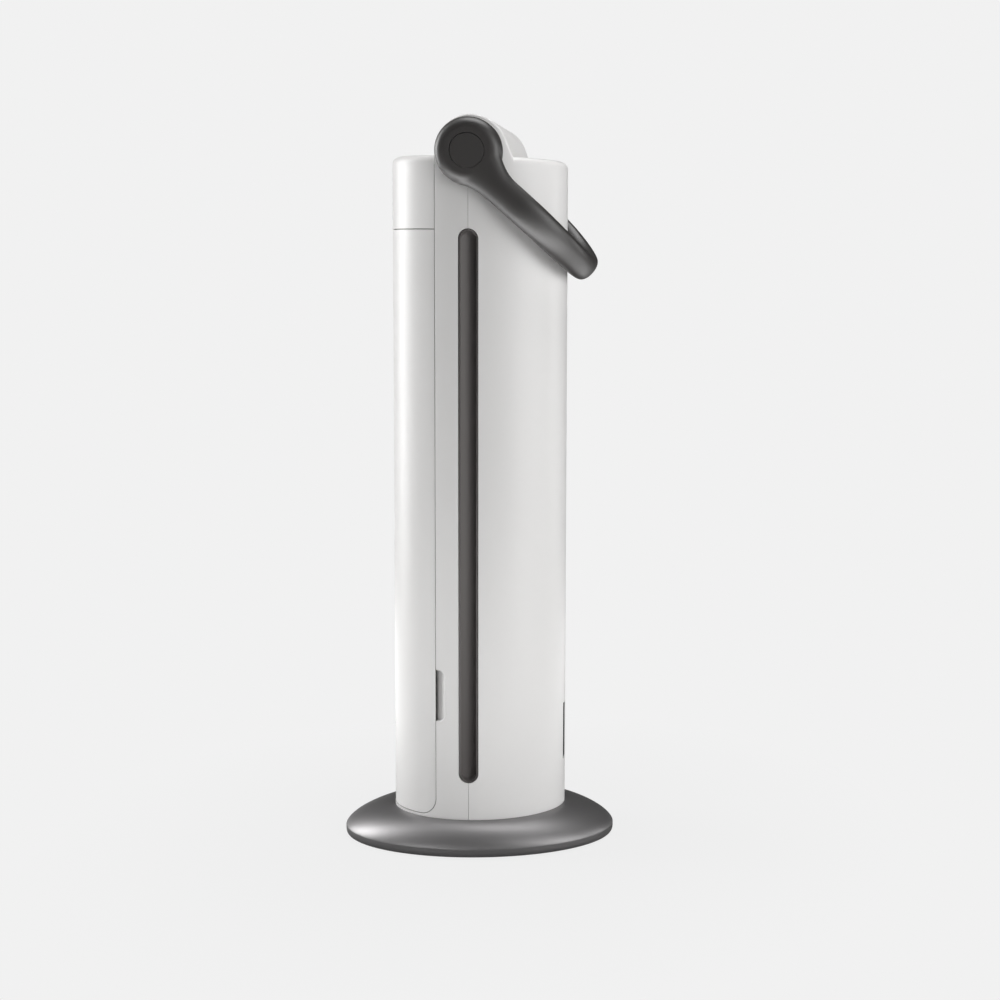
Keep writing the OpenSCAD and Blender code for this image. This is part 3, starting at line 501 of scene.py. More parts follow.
# %% [markdown]
# ## Shading and standing in
# Smooth shading bends the light over a whole bevel, but it also tilts it on the large faces beside a narrow one,
# which shows as a band. A Weighted Normal modifier lets the large faces decide, so they stay flat and only the
# narrow ones bend. A piece that is ready then stands in for its CAD node, on the same body and in the same finish.

# %% Shade a piece and let it stand in
CRISP_ANGLE = radians(30)


def finish_mesh(piece):
    """Smooth shading in which the large faces stay flat and the narrow ones bend."""
    piece.data.shade_smooth()
    piece.data.set_sharp_from_angle(angle=CRISP_ANGLE)
    bend = piece.modifiers.new("bend", "WEIGHTED_NORMAL")
    bend.keep_sharp = True
    settle(piece)


def stand_for(piece, *nodes):
    """A piece that replaces CAD nodes rides on their body and takes their finish."""
    finish_mesh(piece)
    paint(piece, slot_of_node[nodes[0]])
    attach(piece, body_of_node[nodes[0]])
    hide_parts(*nodes)
    print(piece.name, "has", len(piece.data.polygons), "faces")


# %% [markdown]
# ## Ovals, slots and other tools
# The column is an oval tube, so most tools start from a circle that is scaled to an oval and extruded. Many
# segments keep its long highlights free of facets. A slot is a circle whose two halves are drawn apart.

# %% Stand a drawing up
ACROSS = Matrix(((0, 0, 1), (1, 0, 0), (0, 1, 0)))
LENGTHWISE = Matrix(((1, 0, 0), (0, 0, -1), (0, 1, 0)))
TOUCH = 0.01


def raised(shape, low, high, stand=None):
    """Extrudes a flat drawing from low to high, and stands it up if asked."""
    bmesh.ops.translate(shape, vec=(0, 0, low), verts=shape.verts)
    lid = bmesh.ops.extrude_face_region(shape, geom=shape.faces[:])
    lifted = [part for part in lid["geom"] if isinstance(part, bmesh.types.BMVert)]
    bmesh.ops.translate(shape, vec=(0, 0, high - low), verts=lifted)
    if stand:
        bmesh.ops.rotate(shape, cent=(0, 0, 0), matrix=stand, verts=shape.verts)
    bmesh.ops.recalc_face_normals(shape, faces=shape.faces)
    return shape


def rounded(shape, edges, width, steps):
    """Rounds some edges of a bmesh."""
    bmesh.ops.bevel(
        shape, geom=edges, affect="EDGES", offset=width, segments=steps, profile=0.5, material=-1
    )


# %% Ovals and boxes
def oval_block(name, width, depth, low, high, rounding=0.0):
    """An upright oval, with a rounded top edge if asked."""
    shape = bmesh.new()
    bmesh.ops.create_circle(shape, cap_ends=True, segments=240, radius=0.5)
    bmesh.ops.scale(shape, vec=(width, depth, 1), verts=shape.verts)
    raised(shape, low, high)
    if rounding:
        rim = [edge for edge in shape.edges if all(vert.co.z > high - TOUCH for vert in edge.verts)]
        rounded(shape, rim, rounding, 8)
    return new_piece(name, shape)


def box_block(name, x, y, z):
    """A box from its lowest and highest x, y and z."""
    shape = bmesh.new()
    bmesh.ops.create_cube(shape, size=1.0)
    bmesh.ops.scale(shape, vec=(x[1] - x[0], y[1] - y[0], z[1] - z[0]), verts=shape.verts)
    bmesh.ops.translate(shape, vec=(sum(x) / 2, sum(y) / 2, sum(z) / 2), verts=shape.verts)
    return new_piece(name, shape)


# %% Slots and rods
SLOT_SIDES = 48


def slot_block(name, width, low, high, near, far, stand=ACROSS):
    """A slot with round ends: its circle is turned by half a side, so that no corner lies on the split."""
    shape = bmesh.new()
    bmesh.ops.create_circle(shape, cap_ends=True, segments=SLOT_SIDES, radius=width / 2)
    half_side = Matrix.Rotation(pi / SLOT_SIDES, 3, "Z")
    bmesh.ops.rotate(shape, cent=(0, 0, 0), matrix=half_side, verts=shape.verts)
    for end in (-1, 1):
        half = [vert for vert in shape.verts if vert.co.y * end > 0]
        bmesh.ops.translate(shape, vec=(0, end * (high - low - width) / 2, 0), verts=half)
    bmesh.ops.translate(shape, vec=(0, (high + low) / 2, 0), verts=shape.verts)
    return new_piece(name, raised(shape, near, far, stand))


def rod(name, radius, near, far, centre=(0.0, 0.0), stand=ACROSS, segments=64):
    """A round rod that runs across the purifier, or lengthwise."""
    shape = bmesh.new()
    bmesh.ops.create_circle(shape, cap_ends=True, segments=segments, radius=radius)
    bmesh.ops.translate(shape, vec=(*centre, 0), verts=shape.verts)
    return new_piece(name, raised(shape, near, far, stand))


# %% The door's outline
REGION_SIZE = (200, 200, 700)


def door_region(name, edge, low, corner):
    """All that lies in front of the door's line, with its rounded lower corner."""
    shape = bmesh.new()
    bmesh.ops.create_cube(shape, size=1.0)
    bmesh.ops.scale(shape, vec=REGION_SIZE, verts=shape.verts)
    middle = (0, edge - REGION_SIZE[1] / 2, low + REGION_SIZE[2] / 2)
    bmesh.ops.translate(shape, vec=middle, verts=shape.verts)
    turn = [
        line for line in shape.edges if all(v.co.y > edge - 1 and v.co.z < low + 1 for v in line.verts)
    ]
    rounded(shape, turn, corner, 24)
    return new_piece(name, shape)


# %% [markdown]
# ## The column's two halves
# The real column is two mouldings that meet in a seam at the middle of each side. They are made here as one
# hollow body with the hump of the handle on top, which is then cut in two, so that the curves run on over the seam.
# The hump starts as a flat grid: each row is lifted to the hump's arc and drawn out to the column's side, which
# keeps its ends flush with the sides. The sizes below are in millimetres. Those that start with PAST or ALL lie
# beyond the column, so that a tool cuts right through it.

# %% Sizes of the column
BODY_W, BODY_D, TOP, WALL = 110.0, 146.0, 581.0, 2.4
FOOT, TOP_ROUND = 24.0, 6.0
DOOR_LINE, DOOR_CORNER = -27.8, 15.0
SEAM, SEAM_Y, SEAM_ROUND = 521.0, 0.15, 0.3
PIVOT = (1.2, 583.5)
SLOT_W, SIDE_SLOT, DOOR_SLOT = 16.6, (59.5, 522.0), (80.0, 500.0)
BUSH_R, SEAT_R, SEAT_X = 7.0, 10.3, 53.5
PAST_X, PAST_Y, ALL_X, ALL_Z = 70, 90, (-80, 80), (0, 700)


def half_width(width, depth, y):
    """Half the width of an oval at a place y along its depth."""
    return width / 2 * sqrt(max(0.0, 1 - (2 * y / depth) ** 2))


print("half the column's width at the door's line:", round(half_width(BODY_W, BODY_D, DOOR_LINE), 2), "mm")

# %% The hump
HUMP_Y, HUMP_Z, HUMP_R, HUMP_ROUND = 2.5, 584.5, 29.0, 1.6
FLANK = radians(21)
SKIRT = 0.08


def hump_block(name, inset, low, ends, flank):
    """The hump of the handle, drawn in by an inset; ends is the most that it reaches to each side."""
    shape = bmesh.new()
    bmesh.ops.create_grid(shape, x_segments=1, y_segments=48, size=1.0)
    radius = HUMP_R - inset
    last = pi - FLANK if flank else pi
    for vert in shape.verts:
        share = (vert.co.y + 1) / 2 * (1 + SKIRT if flank else 1)
        turn = min(share, 1.0) * last
        y = HUMP_Y - radius * cos(turn)
        z = HUMP_Z + radius * sin(turn)
        if share > 1.0:
            down = (share - 1.0) / SKIRT * (z - TOP + 3)
            y, z = y + down * sin(FLANK) / cos(FLANK), z - down
        side = min(ends, half_width(BODY_W - 2 * inset, BODY_D - 2 * inset, y))
        vert.co = (side if vert.co.x > 0 else -side, y, z)
    deck = bmesh.ops.extrude_face_region(shape, geom=shape.faces[:])
    for part in deck["geom"]:
        if isinstance(part, bmesh.types.BMVert):
            part.co.z = low
    bmesh.ops.recalc_face_normals(shape, faces=shape.faces)
    if flank:
        rims = [
            edge
            for edge in shape.edges
            if edge.calc_face_angle(0.0) > radians(50)
            and all(vert.co.z > low + 1 for vert in edge.verts)
            and edge.verts[0].co.x * edge.verts[1].co.x > 0
        ]
        rounded(shape, rims, HUMP_ROUND, 4)
    return new_piece(name, shape)


# %% Hollow the column
HUMP_ENDS = 51.1
column = oval_block("column", BODY_W, BODY_D, FOOT, TOP, rounding=TOP_ROUND)
carve(column, hump_block("hump", 0.0, TOP - 2 * WALL, BODY_W, True), operation="UNION")
inner_size = (BODY_W - 2 * WALL, BODY_D - 2 * WALL)
carve(
    column,
    oval_block("hollow", *inner_size, FOOT - 1, TOP - WALL, rounding=TOP_ROUND - WALL),
    hump_block("hump_hollow", WALL, TOP - WALL - 0.4, HUMP_ENDS, False),
    slot_block("side_slots", SLOT_W, *SIDE_SLOT, -PAST_X, PAST_X),
    rod("bush_bore", BUSH_R, -PAST_X, PAST_X, PIVOT),
    rod("right_seat", SEAT_R, SEAT_X, PAST_X, PIVOT),
    rod("left_seat", SEAT_R, -PAST_X, -SEAT_X, PIVOT),
)
print("the hollow column has", len(column.data.polygons), "faces")

# %% [markdown]
# ## The rear half
# It keeps what lies behind the seam, and gets the opening of the power inlet. Its seam edge is softened by a
# third of a millimetre, which makes the seam read as a fine line.

# %% Cut and soften the rear half
INLET_X, INLET_Z, RIM_ROUND = 6, (67, 117), 0.5


def on_seam(x, y, z):
    return abs(y) < SEAM_Y + 0.05 and abs(x) > BODY_W / 2 - 5


def on_inlet_rim(x, y, z):
    return y > BODY_D / 2 - 0.7 and abs(x) < INLET_X + 0.2 and z < INLET_Z[1] + 1


rear_half = twin(column, "rear_half")
carve(rear_half, box_block("front_side", ALL_X, (-PAST_Y, SEAM_Y), ALL_Z))
carve(rear_half, box_block("inlet_hole", (-INLET_X, INLET_X), (50, PAST_Y), INLET_Z))
soften(rear_half, on_seam, SEAM_ROUND)
soften(rear_half, on_inlet_rim, RIM_ROUND)
stand_for(rear_half, "rear_shell")

# %% [markdown]
# ## The front half
# It is the frame that the door and the control panel sit in. Blocks behind its side walls carry the finger
# notches, whose floors rise towards the rear, and a thin tongue stands behind the door's edge, so that no light
# comes through the gap. The edge beside the door stands a little proud of it, and its radius catches the light.

# %% Cut the front half
OPENING_LOW, EDGE_ROUND = 29.5, 1.2
CORNER_TOP = OPENING_LOW + DOOR_CORNER


def beside_door(x, y, z):
    """The outer edge of the door's opening: its straight sides and its round lower corners."""
    on_line = abs(y - DOOR_LINE) < 0.05 and z > CORNER_TOP - 0.5
    on_corner = y < DOOR_LINE - 0.05 and z < CORNER_TOP + 0.5
    return (on_line or on_corner) and abs(x) > half_width(BODY_W, BODY_D, y) - 0.3


front_half = twin(column, "front_half")
bpy.data.objects.remove(column)
carve(
    front_half,
    box_block("rear_side", ALL_X, (-SEAM_Y, PAST_Y), ALL_Z),
    door_region("door_opening", DOOR_LINE, OPENING_LOW, DOOR_CORNER),
)
soften(front_half, on_seam, SEAM_ROUND)
soften(front_half, beside_door, EDGE_ROUND)

# %% Blocks for the notches and the catches
NOTCH_LOW, NOTCH_HIGH, NOTCH_REAR = 111.5, 155.0, -20.2
NOTCH_DEEP, NOTCH_SHALLOW = 5.5, 1.0
EDGE_X = half_width(BODY_W, BODY_D, DOOR_LINE)
FLOOR_X = EDGE_X - NOTCH_DEEP
PEG_X, PEG_LEVELS = EDGE_X - 10.4, (81.5, 487.0)
LUG_REACH, LUG_DEPTH, LUG_HALF = 5, 3, 6
ALL_OVAL = (20, 600)


def side_block(name, side, inner, y, z, width, depth):
    """A block on one side, from an inner x out to the middle of an oval wall, so that it can't show outside."""
    block = box_block(name, sorted((side * inner, side * 60)), y, z)
    carve(block, oval_block("skin", width - WALL, depth - WALL, *ALL_OVAL), operation="INTERSECT")
    return block


for side in (-1, 1):
    backing = side_block(
        "notch_backing", side, FLOOR_X - WALL,
        (DOOR_LINE, NOTCH_REAR + WALL), (NOTCH_LOW - WALL, NOTCH_HIGH + WALL), BODY_W, BODY_D,
    )
    lugs = [
        side_block(
            "lug", side, PEG_X - LUG_REACH,
            (DOOR_LINE, DOOR_LINE + LUG_DEPTH), (level - LUG_HALF, level + LUG_HALF), BODY_W, BODY_D,
        )
        for level in PEG_LEVELS
    ]
    carve(front_half, backing, *lugs, operation="UNION")
print(front_half.name, "has", len(front_half.data.polygons), "faces with its blocks")

# %% The tongue behind the door's edge
TONGUE_W, TONGUE_D, TONGUE_T, TONGUE_Z = 102, 138, 1.5, (33, 517.6)
TONGUE_Y = (DOOR_LINE - 4, DOOR_LINE + 2)
tongue = oval_block("tongue", TONGUE_W, TONGUE_D, *TONGUE_Z)
carve(
    tongue,
    oval_block("tongue_hollow", TONGUE_W - 2 * TONGUE_T, TONGUE_D - 2 * TONGUE_T, *ALL_OVAL),
    box_block("tongue_rear", ALL_X, (TONGUE_Y[1], PAST_Y), ALL_Z),
)
carve(tongue, box_block("tongue_front", ALL_X, (-PAST_Y, TONGUE_Y[0]), ALL_Z))
for level in PEG_LEVELS:
    carve(tongue, box_block("tongue_gap", ALL_X, (DOOR_LINE - 10, DOOR_LINE), (level - 7, level + 7)))
carve(front_half, tongue, operation="UNION")
print(front_half.name, "has", len(front_half.data.polygons), "faces with its tongue")

# %% Finger notches
NOTCH_FRONT, NOTCH_ROUND = DOOR_LINE - 5, 6.5


def notch_block(side):
    """A D-shaped notch whose floor rises towards the rear."""
    shape = bmesh.new()
    bmesh.ops.create_grid(shape, x_segments=1, y_segments=1, size=0.5)
    bmesh.ops.scale(shape, vec=(NOTCH_REAR - NOTCH_FRONT, NOTCH_HIGH - NOTCH_LOW, 1), verts=shape.verts)
    middle = ((NOTCH_REAR + NOTCH_FRONT) / 2, (NOTCH_LOW + NOTCH_HIGH) / 2, 0)
    bmesh.ops.translate(shape, vec=middle, verts=shape.verts)
    corners = [vert for vert in shape.verts if vert.co.x > NOTCH_REAR - 1]
    bmesh.ops.bevel(
        shape, geom=corners, affect="VERTICES", offset=NOTCH_ROUND, segments=14, profile=0.5, material=-1
    )
    raised(shape, FLOOR_X, PAST_X, ACROSS)
    rear_x = half_width(BODY_W, BODY_D, NOTCH_REAR) - NOTCH_SHALLOW
    rise = (rear_x - FLOOR_X) / (NOTCH_REAR - DOOR_LINE)
    for vert in shape.verts:
        if vert.co.x < PAST_X - 10:
            vert.co.x += rise * (vert.co.y - DOOR_LINE)
    if side < 0:
        everything = shape.verts[:] + shape.edges[:] + shape.faces[:]
        bmesh.ops.mirror(shape, geom=everything, axis="X", merge_dist=-1)
        bmesh.ops.delete(shape, geom=[v for v in shape.verts if v.co.x > 0], context="VERTS")
        bmesh.ops.recalc_face_normals(shape, faces=shape.faces)
    return new_piece("notch", shape)


carve(front_half, notch_block(1), notch_block(-1))
print(front_half.name, "has", len(front_half.data.polygons), "faces with its notches")

# %% Holes for the pegs, and soft notch rims
PEG_R, PEG_PLAY, PEG_SIDES = 2.0, 0.1, 32


def on_notch_rim(x, y, z):
    inside = DOOR_LINE < y < NOTCH_REAR + 0.1 and NOTCH_LOW - 0.1 < z < NOTCH_HIGH + 0.1
    return inside and abs(x) > half_width(BODY_W, BODY_D, y) - 0.05


peg_places = [(x, level) for x in (-PEG_X, PEG_X) for level in PEG_LEVELS]
hole = (PEG_R + PEG_PLAY, -DOOR_LINE - 4, -DOOR_LINE + 1)
carve(front_half, *(rod("peg_hole", *hole, place, LENGTHWISE, PEG_SIDES) for place in peg_places))
soften(front_half, on_notch_rim, EDGE_ROUND, 4, clamp=False)
stand_for(front_half, "front_shell")

# %% [markdown]
# ## The door and the control panel
# Both are thin oval covers, a little narrower than the column, so that a fine step runs down each side. The door
# has the outline of its opening, made smaller by the same gap all round, and four pegs that snap into the column.

# %% Shell of the door
DOOR_W, DOOR_D, GAP = BODY_W - 2.6, BODY_D - 0.6, 0.7
INNER_DOOR = (DOOR_W - 2 * WALL, DOOR_D - 2 * WALL)
BEHIND_DOOR = 36

door = oval_block("door", DOOR_W, DOOR_D, FOOT, SEAM - GAP / 2)
carve(door, oval_block("door_hollow", *INNER_DOOR, 20, SEAM - WALL))
outline = door_region("door_outline", DOOR_LINE - GAP, OPENING_LOW + GAP, DOOR_CORNER - GAP)
carve(door, outline, operation="INTERSECT")
carve(door, slot_block("inlet_slot", SLOT_W, *DOOR_SLOT, BEHIND_DOOR, PAST_Y, LENGTHWISE))
print(door.name, "has", len(door.data.polygons), "faces before its pegs")

# %% Pegs and rims of the door
PEG_BLOCK_HALF, PEG_BLOCK_Y = 3.5, (DOOR_LINE - 14, DOOR_LINE - 6)


def on_door_outline(x, y, z):
    at_side = z > CORNER_TOP - 0.5 or y < -45
    return at_side and abs(x) > half_width(DOOR_W, DOOR_D, y) - 0.3


def on_door_slot(x, y, z):
    return y < -DOOR_D / 2 + 1 and abs(x) < SLOT_W / 2 + 0.2


for x, level in peg_places:
    levels = (level - PEG_BLOCK_HALF, level + PEG_BLOCK_HALF)
    block = side_block("peg_block", x / abs(x), PEG_X - PEG_BLOCK_HALF, PEG_BLOCK_Y, levels, DOOR_W, DOOR_D)
    peg = rod("peg", PEG_R, -DOOR_LINE - 2.2, -DOOR_LINE + 12, (x, level), LENGTHWISE, PEG_SIDES)
    carve(door, block, peg, operation="UNION")
soften(door, on_door_outline, SEAM_ROUND)
soften(door, on_door_slot, RIM_ROUND)
stand_for(door, "front_door")

# %% Control panel
BUTTON_R, BUTTON_PLAY, POWER_Z, SPEED_Z = 7.0, 0.3, 563, 542
LENS_X, LENS_Z = (-7, 7), (529, 533)
HOLE_ROUND = 0.25


def on_panel_rim(x, y, z):
    in_face = y < -DOOR_D / 2 + 0.8 and abs(x) < BUTTON_R + 0.5
    return z < SEAM + 1 or y > DOOR_LINE - GAP - 0.1 or in_face


panel = oval_block("panel", DOOR_W, DOOR_D, SEAM + GAP / 2, TOP, rounding=TOP_ROUND)
carve(
    panel,
    oval_block("panel_hollow", *INNER_DOOR, SEAM - 10, TOP - WALL, rounding=TOP_ROUND - WALL),
    box_block("panel_rear", ALL_X, (DOOR_LINE - GAP, PAST_Y), ALL_Z),
    rod("power_hole", BUTTON_R + BUTTON_PLAY, BEHIND_DOOR, PAST_Y, (0, POWER_Z), LENGTHWISE),
    rod("speed_hole", BUTTON_R + BUTTON_PLAY, BEHIND_DOOR, PAST_Y, (0, SPEED_Z), LENGTHWISE),
    box_block("lens_hole", LENS_X, (-PAST_Y, -BEHIND_DOOR), LENS_Z),
)
soften(panel, on_panel_rim, HOLE_ROUND)
stand_for(panel, "control_panel")

# %% [markdown]
# ## The two buttons
# A finger finds a button by its hollow, so the face of each one is dished. Insetting the front face three times,
# a little deeper each time, draws the hollow, and smooth shading rounds it. A collar behind the panel holds the
# button in, and a thin pin reaches back to its switch.

# %% Dished buttons
BUTTON_FRONT, BUTTON_BACK, BUTTON_ROUND = 72.4, 67.8, 0.6
COLLAR_R, COLLAR_T, PIN_R, PIN_END = 8.6, 1.0, 2.5, 62.7
DISH_STEPS = ((0.9, 0.12), (1.5, 0.16), (2.0, 0.07))


def on_button_rim(x, y, z):
    return y < -BUTTON_FRONT + 0.1


def dished_button(name, height):
    """A round button with a hollow face; each step of the dish is a margin and a depth."""
    button = rod(name, BUTTON_R, BUTTON_BACK, BUTTON_FRONT, (0, height), LENGTHWISE, 96)
    collar = rod("collar", COLLAR_R, BUTTON_BACK, BUTTON_BACK + COLLAR_T, (0, height), LENGTHWISE)
    pin = rod("pin", PIN_R, PIN_END, BUTTON_BACK + COLLAR_T / 2, (0, height), LENGTHWISE, 32)
    carve(button, collar, pin, operation="UNION")
    soften(button, on_button_rim, BUTTON_ROUND, 4)
    shape = bmesh.new()
    shape.from_mesh(button.data)
    front = min(shape.faces, key=lambda face: face.calc_center_median().y)
    for margin, depth in DISH_STEPS:
        bmesh.ops.inset_individual(shape, faces=[front], thickness=margin * MM, depth=-depth * MM)
    shape.to_mesh(button.data)
    shape.free()
    return button


for node, height in (("power_button", POWER_Z), ("speed_button", SPEED_Z)):
    stand_for(dished_button(node + "_dished", height), node)

# %% [markdown]
# ## The base
# The base is a low dome that runs from the column's foot out to a soft rim. It is drawn ring by ring: each new
# ring is extruded from the last one, scaled to its oval and lifted, and a Solidify modifier then gives it a wall.

# %% Rings of the base
BASE_W, BASE_D, RIM_Z, BASE_TOP, BASE_WALL = 147.0, 231.0, 8.5, 28.0, 3.0
RIM_BEND, RIM_MIDDLE = 4.0, 5.5
SWELL, FLATTEN = 1.6, 0.68
POCKET_PLAY = 0.8
DOME_STEPS = 40


def rim_ring(turn):
    """Width, depth and height of the turned-in rim, from below at 0 to its widest line at a right angle."""
    inwards = RIM_BEND * (1 - sin(turn))
    return BASE_W - inwards, BASE_D - inwards, RIM_MIDDLE - RIM_BEND * cos(turn)


def dome_ring(step):
    """Width, depth and height of the dome; its first steps are small, because it is steepest at the rim."""
    half = DOME_STEPS / 2
    t = (step / DOME_STEPS) ** 2 if step < half else 0.25 + 0.75 * (step - half) / half
    return (
        BASE_W - t * (BASE_W - BODY_W),
        BASE_D - t * (BASE_D - BODY_D),
        RIM_Z + (BASE_TOP - RIM_Z) * (1 - (1 - t) ** SWELL) ** FLATTEN,
    )


pocket_size = (BODY_W + POCKET_PLAY, BODY_D + POCKET_PLAY)
rings = [rim_ring(radians(degree)) for degree in range(0, 91, 15)]
rings += [dome_ring(step) for step in range(DOME_STEPS)]
rings += [(*pocket_size, BASE_TOP), (*pocket_size, FOOT)]
print("the base has", len(rings), "rings")

# %% Base dome
shape = bmesh.new()
bmesh.ops.create_circle(shape, cap_ends=False, segments=256, radius=0.5)
last = rings[0]
bmesh.ops.scale(shape, vec=(last[0], last[1], 1), verts=shape.verts)
bmesh.ops.translate(shape, vec=(0, 0, last[2]), verts=shape.verts)
loop = shape.edges[:]
for ring in rings[1:]:
    grown = bmesh.ops.extrude_edge_only(shape, edges=loop)["geom"]
    verts = [part for part in grown if isinstance(part, bmesh.types.BMVert)]
    loop = [part for part in grown if isinstance(part, bmesh.types.BMEdge)]
    bmesh.ops.scale(shape, vec=(ring[0] / last[0], ring[1] / last[1], 1), verts=verts)
    bmesh.ops.translate(shape, vec=(0, 0, ring[2] - last[2]), verts=verts)
    last = ring
bmesh.ops.edgeloop_fill(shape, edges=loop)
bmesh.ops.recalc_face_normals(shape, faces=shape.faces)
base = new_piece("base", shape)
walls = base.modifiers.new("walls", "SOLIDIFY")
walls.thickness = BASE_WALL * MM
walls.offset = -1.0
settle(base)
stand_for(base, "base_shell")
print("the base spans", [round(size / MM, 1) for size in base.dimensions])

# %% [markdown]
# ## The handle
# The handle is a loop that swells from slim arms to a rounder grip, and ends in two thick discs. A circle is
# extruded from station to station along a straight tube first. Each ring of it is then moved to its place on the
# loop and squeezed to a soft oval, which bends the tube without ever naming a face.

# %% Sizes of the handle
HUB_R, HUB_IN, HUB_T, HUB_SOFT = 27.5, 55.6, 11.0, 8.5
HUB_OUT = HUB_IN + HUB_T
ARM_X = HUB_IN + HUB_T / 2
ARM_H, GRIP_H, ARM_R, GRIP_R = 13.0, 12.0, 6.5, 8.5
ARM_ROOT, ARM_DROP, GRIP_DROP, BEND_START, BEND_LENGTH = 12.0, 6.1, 5.0, 60.0, 64.0
BLEND_R, NECK, NECK_GAIN = 50.0, 0.93, 0.07
BLEND_END = sqrt((HUB_R + BLEND_R) ** 2 - (ARM_H + BLEND_R) ** 2)
REST_ANGLE = radians(40.8)
ARM_STEPS, BEND_STEPS = 12, 48
LOOP_STEPS = 2 * ARM_STEPS + BEND_STEPS
print("the hubs blend into the arms over", round(BLEND_END, 1), "mm")


# %% Stations along the loop
def arm_station(along):
    """Across, along, level, half height, half thickness and direction of the straight arm."""
    share = min(1.0, along / BLEND_END)
    half = ARM_H
    if along < BLEND_END:
        fillet = sqrt(BLEND_R**2 - (BLEND_END - along) ** 2)
        half = (ARM_H + BLEND_R - fillet) * (NECK + NECK_GAIN * share)
    drop = ARM_DROP * share * share * (3 - 2 * share)
    return ARM_X, along, -drop, half, HUB_T / 2 + (ARM_R - HUB_T / 2) * share, 0.0


def bend_station(turn):
    """The same six numbers for the bend, which swells into the grip and sinks a little."""
    bulge = sin(turn) ** 2
    return (
        ARM_X * cos(turn),
        BEND_START + BEND_LENGTH * sin(turn),
        -ARM_DROP - GRIP_DROP * bulge,
        ARM_H + (GRIP_H - ARM_H) * bulge,
        ARM_R + (GRIP_R - ARM_R) * bulge,
        atan2(sin(turn) / BEND_LENGTH, cos(turn) / ARM_X),
    )


def loop_station(step):
    """The station at a step of the whole loop: right arm, bend, then the left arm as a mirror of the right."""
    if step < ARM_STEPS:
        return arm_station(ARM_ROOT + (BEND_START - ARM_ROOT) * step / ARM_STEPS)
    if step > ARM_STEPS + BEND_STEPS:
        x, along, level, half, thick, _ = loop_station(LOOP_STEPS - step)
        return -x, along, level, half, thick, pi
    return bend_station(pi * (step - ARM_STEPS) / BEND_STEPS)


print("the grip lies", round(bend_station(pi / 2)[1], 1), "mm from the axle")

# %% Bend the loop
FULL_X, FULL_Y = 0.8, 0.9


def fuller(share, power):
    """Pushes a circle's coordinate outwards, which squares the circle a little."""
    return abs(share) ** power * (1 if share > 0 else -1)


shape = bmesh.new()
bmesh.ops.create_circle(shape, cap_ends=True, segments=48, radius=1.0)
face = shape.faces[:]
for step in range(LOOP_STEPS):
    grown = bmesh.ops.extrude_face_region(shape, geom=face)["geom"]
    face = [part for part in grown if isinstance(part, bmesh.types.BMFace)]
    bmesh.ops.translate(shape, vec=(0, 0, 1), verts=face[0].verts[:])
for vert in shape.verts:
    x, along, level, half, thick, facing = loop_station(round(vert.co.z))
    out = thick * fuller(vert.co.x, FULL_X)
    up = half * fuller(vert.co.y, FULL_Y)
    vert.co = (x + out * cos(facing), along + out * sin(facing), level + up)
bmesh.ops.recalc_face_normals(shape, faces=shape.faces)
handle = new_piece("carry_handle", shape)
print("the bent loop has", len(handle.data.polygons), "faces")


# %% Add the hubs
def hub_block(side):
    """A thick disc with a soft outer rim; the left one is the right one turned half round."""
    shape = bmesh.new()
    bmesh.ops.create_circle(shape, cap_ends=True, segments=128, radius=HUB_R)
    raised(shape, HUB_IN, HUB_OUT, ACROSS)
    rim = [edge for edge in shape.edges if all(vert.co.x > HUB_OUT - TOUCH for vert in edge.verts)]
    rounded(shape, rim, HUB_SOFT, 12)
    if side < 0:
        bmesh.ops.rotate(shape, cent=(0, 0, 0), matrix=Matrix.Rotation(pi, 3, "Z"), verts=shape.verts)
    return new_piece("hub", shape)


carve(handle, hub_block(1), hub_block(-1), operation="UNION")
print("with its hubs it has", len(handle.data.polygons), "faces")

# %% [markdown]
# ## Blend the hubs into the arms
# Where a disc meets an arm the union leaves a crease, but the real handle is one soft moulding. A Remesh modifier
# covers the shape with small even squares and a Smooth modifier relaxes them, which melts the crease. The bores
# and the seats of the caps are cut afterwards, so that they stay crisp.

# %% Melt the creases
even = handle.modifiers.new("even", "REMESH")
even.mode = "VOXEL"
even.voxel_size = 0.9 * MM
relax = handle.modifiers.new("relax", "SMOOTH")
relax.factor = 0.5
relax.iterations = 14
settle(handle)
at_axle = Matrix.Translation((0, PIVOT[0] * MM, PIVOT[1] * MM))
handle.data.transform(at_axle @ Matrix.Rotation(-REST_ANGLE, 4, "X"))
print("the melted handle has", len(handle.data.polygons), "faces")

# %% Bore the hubs
AXLE_END, HEAD_SEAT, CAP_SEAT, OUTSIDE = HUB_OUT - 5.7, HUB_OUT - 4.1, HUB_OUT - 2.4, HUB_OUT + 5
AXLE_BORE, SCREW_BORE, HEAD_BORE = 4.01, 2.1, 5.0
CAP_R, CAP_PLAY, CAP_SIDES = 14.0, 0.2, 128


def hub_rod(name, side, radius, near, far, segments=64):
    """A rod on the handle's axle, on one side."""
    return rod(name, radius, *sorted((side * near, side * far)), PIVOT, segments=segments)


for side in (-1, 1):
    carve(
        handle,
        hub_rod("axle_bore", side, AXLE_BORE, 50, AXLE_END),
        hub_rod("screw_bore", side, SCREW_BORE, AXLE_END - 1, OUTSIDE),
        hub_rod("head_bore", side, HEAD_BORE, HEAD_SEAT, OUTSIDE),
        hub_rod("cap_seat", side, CAP_R + CAP_PLAY, CAP_SEAT, OUTSIDE, CAP_SIDES),
    )
stand_for(handle, "handle")
print("the handle spans", [round(size / MM, 1) for size in handle.dimensions])

# %% Hub caps
CAP_FACE, CAP_ROUND = HUB_OUT - 0.3, 0.4


def on_cap_rim(x, y, z):
    return abs(x) > CAP_FACE - 0.2


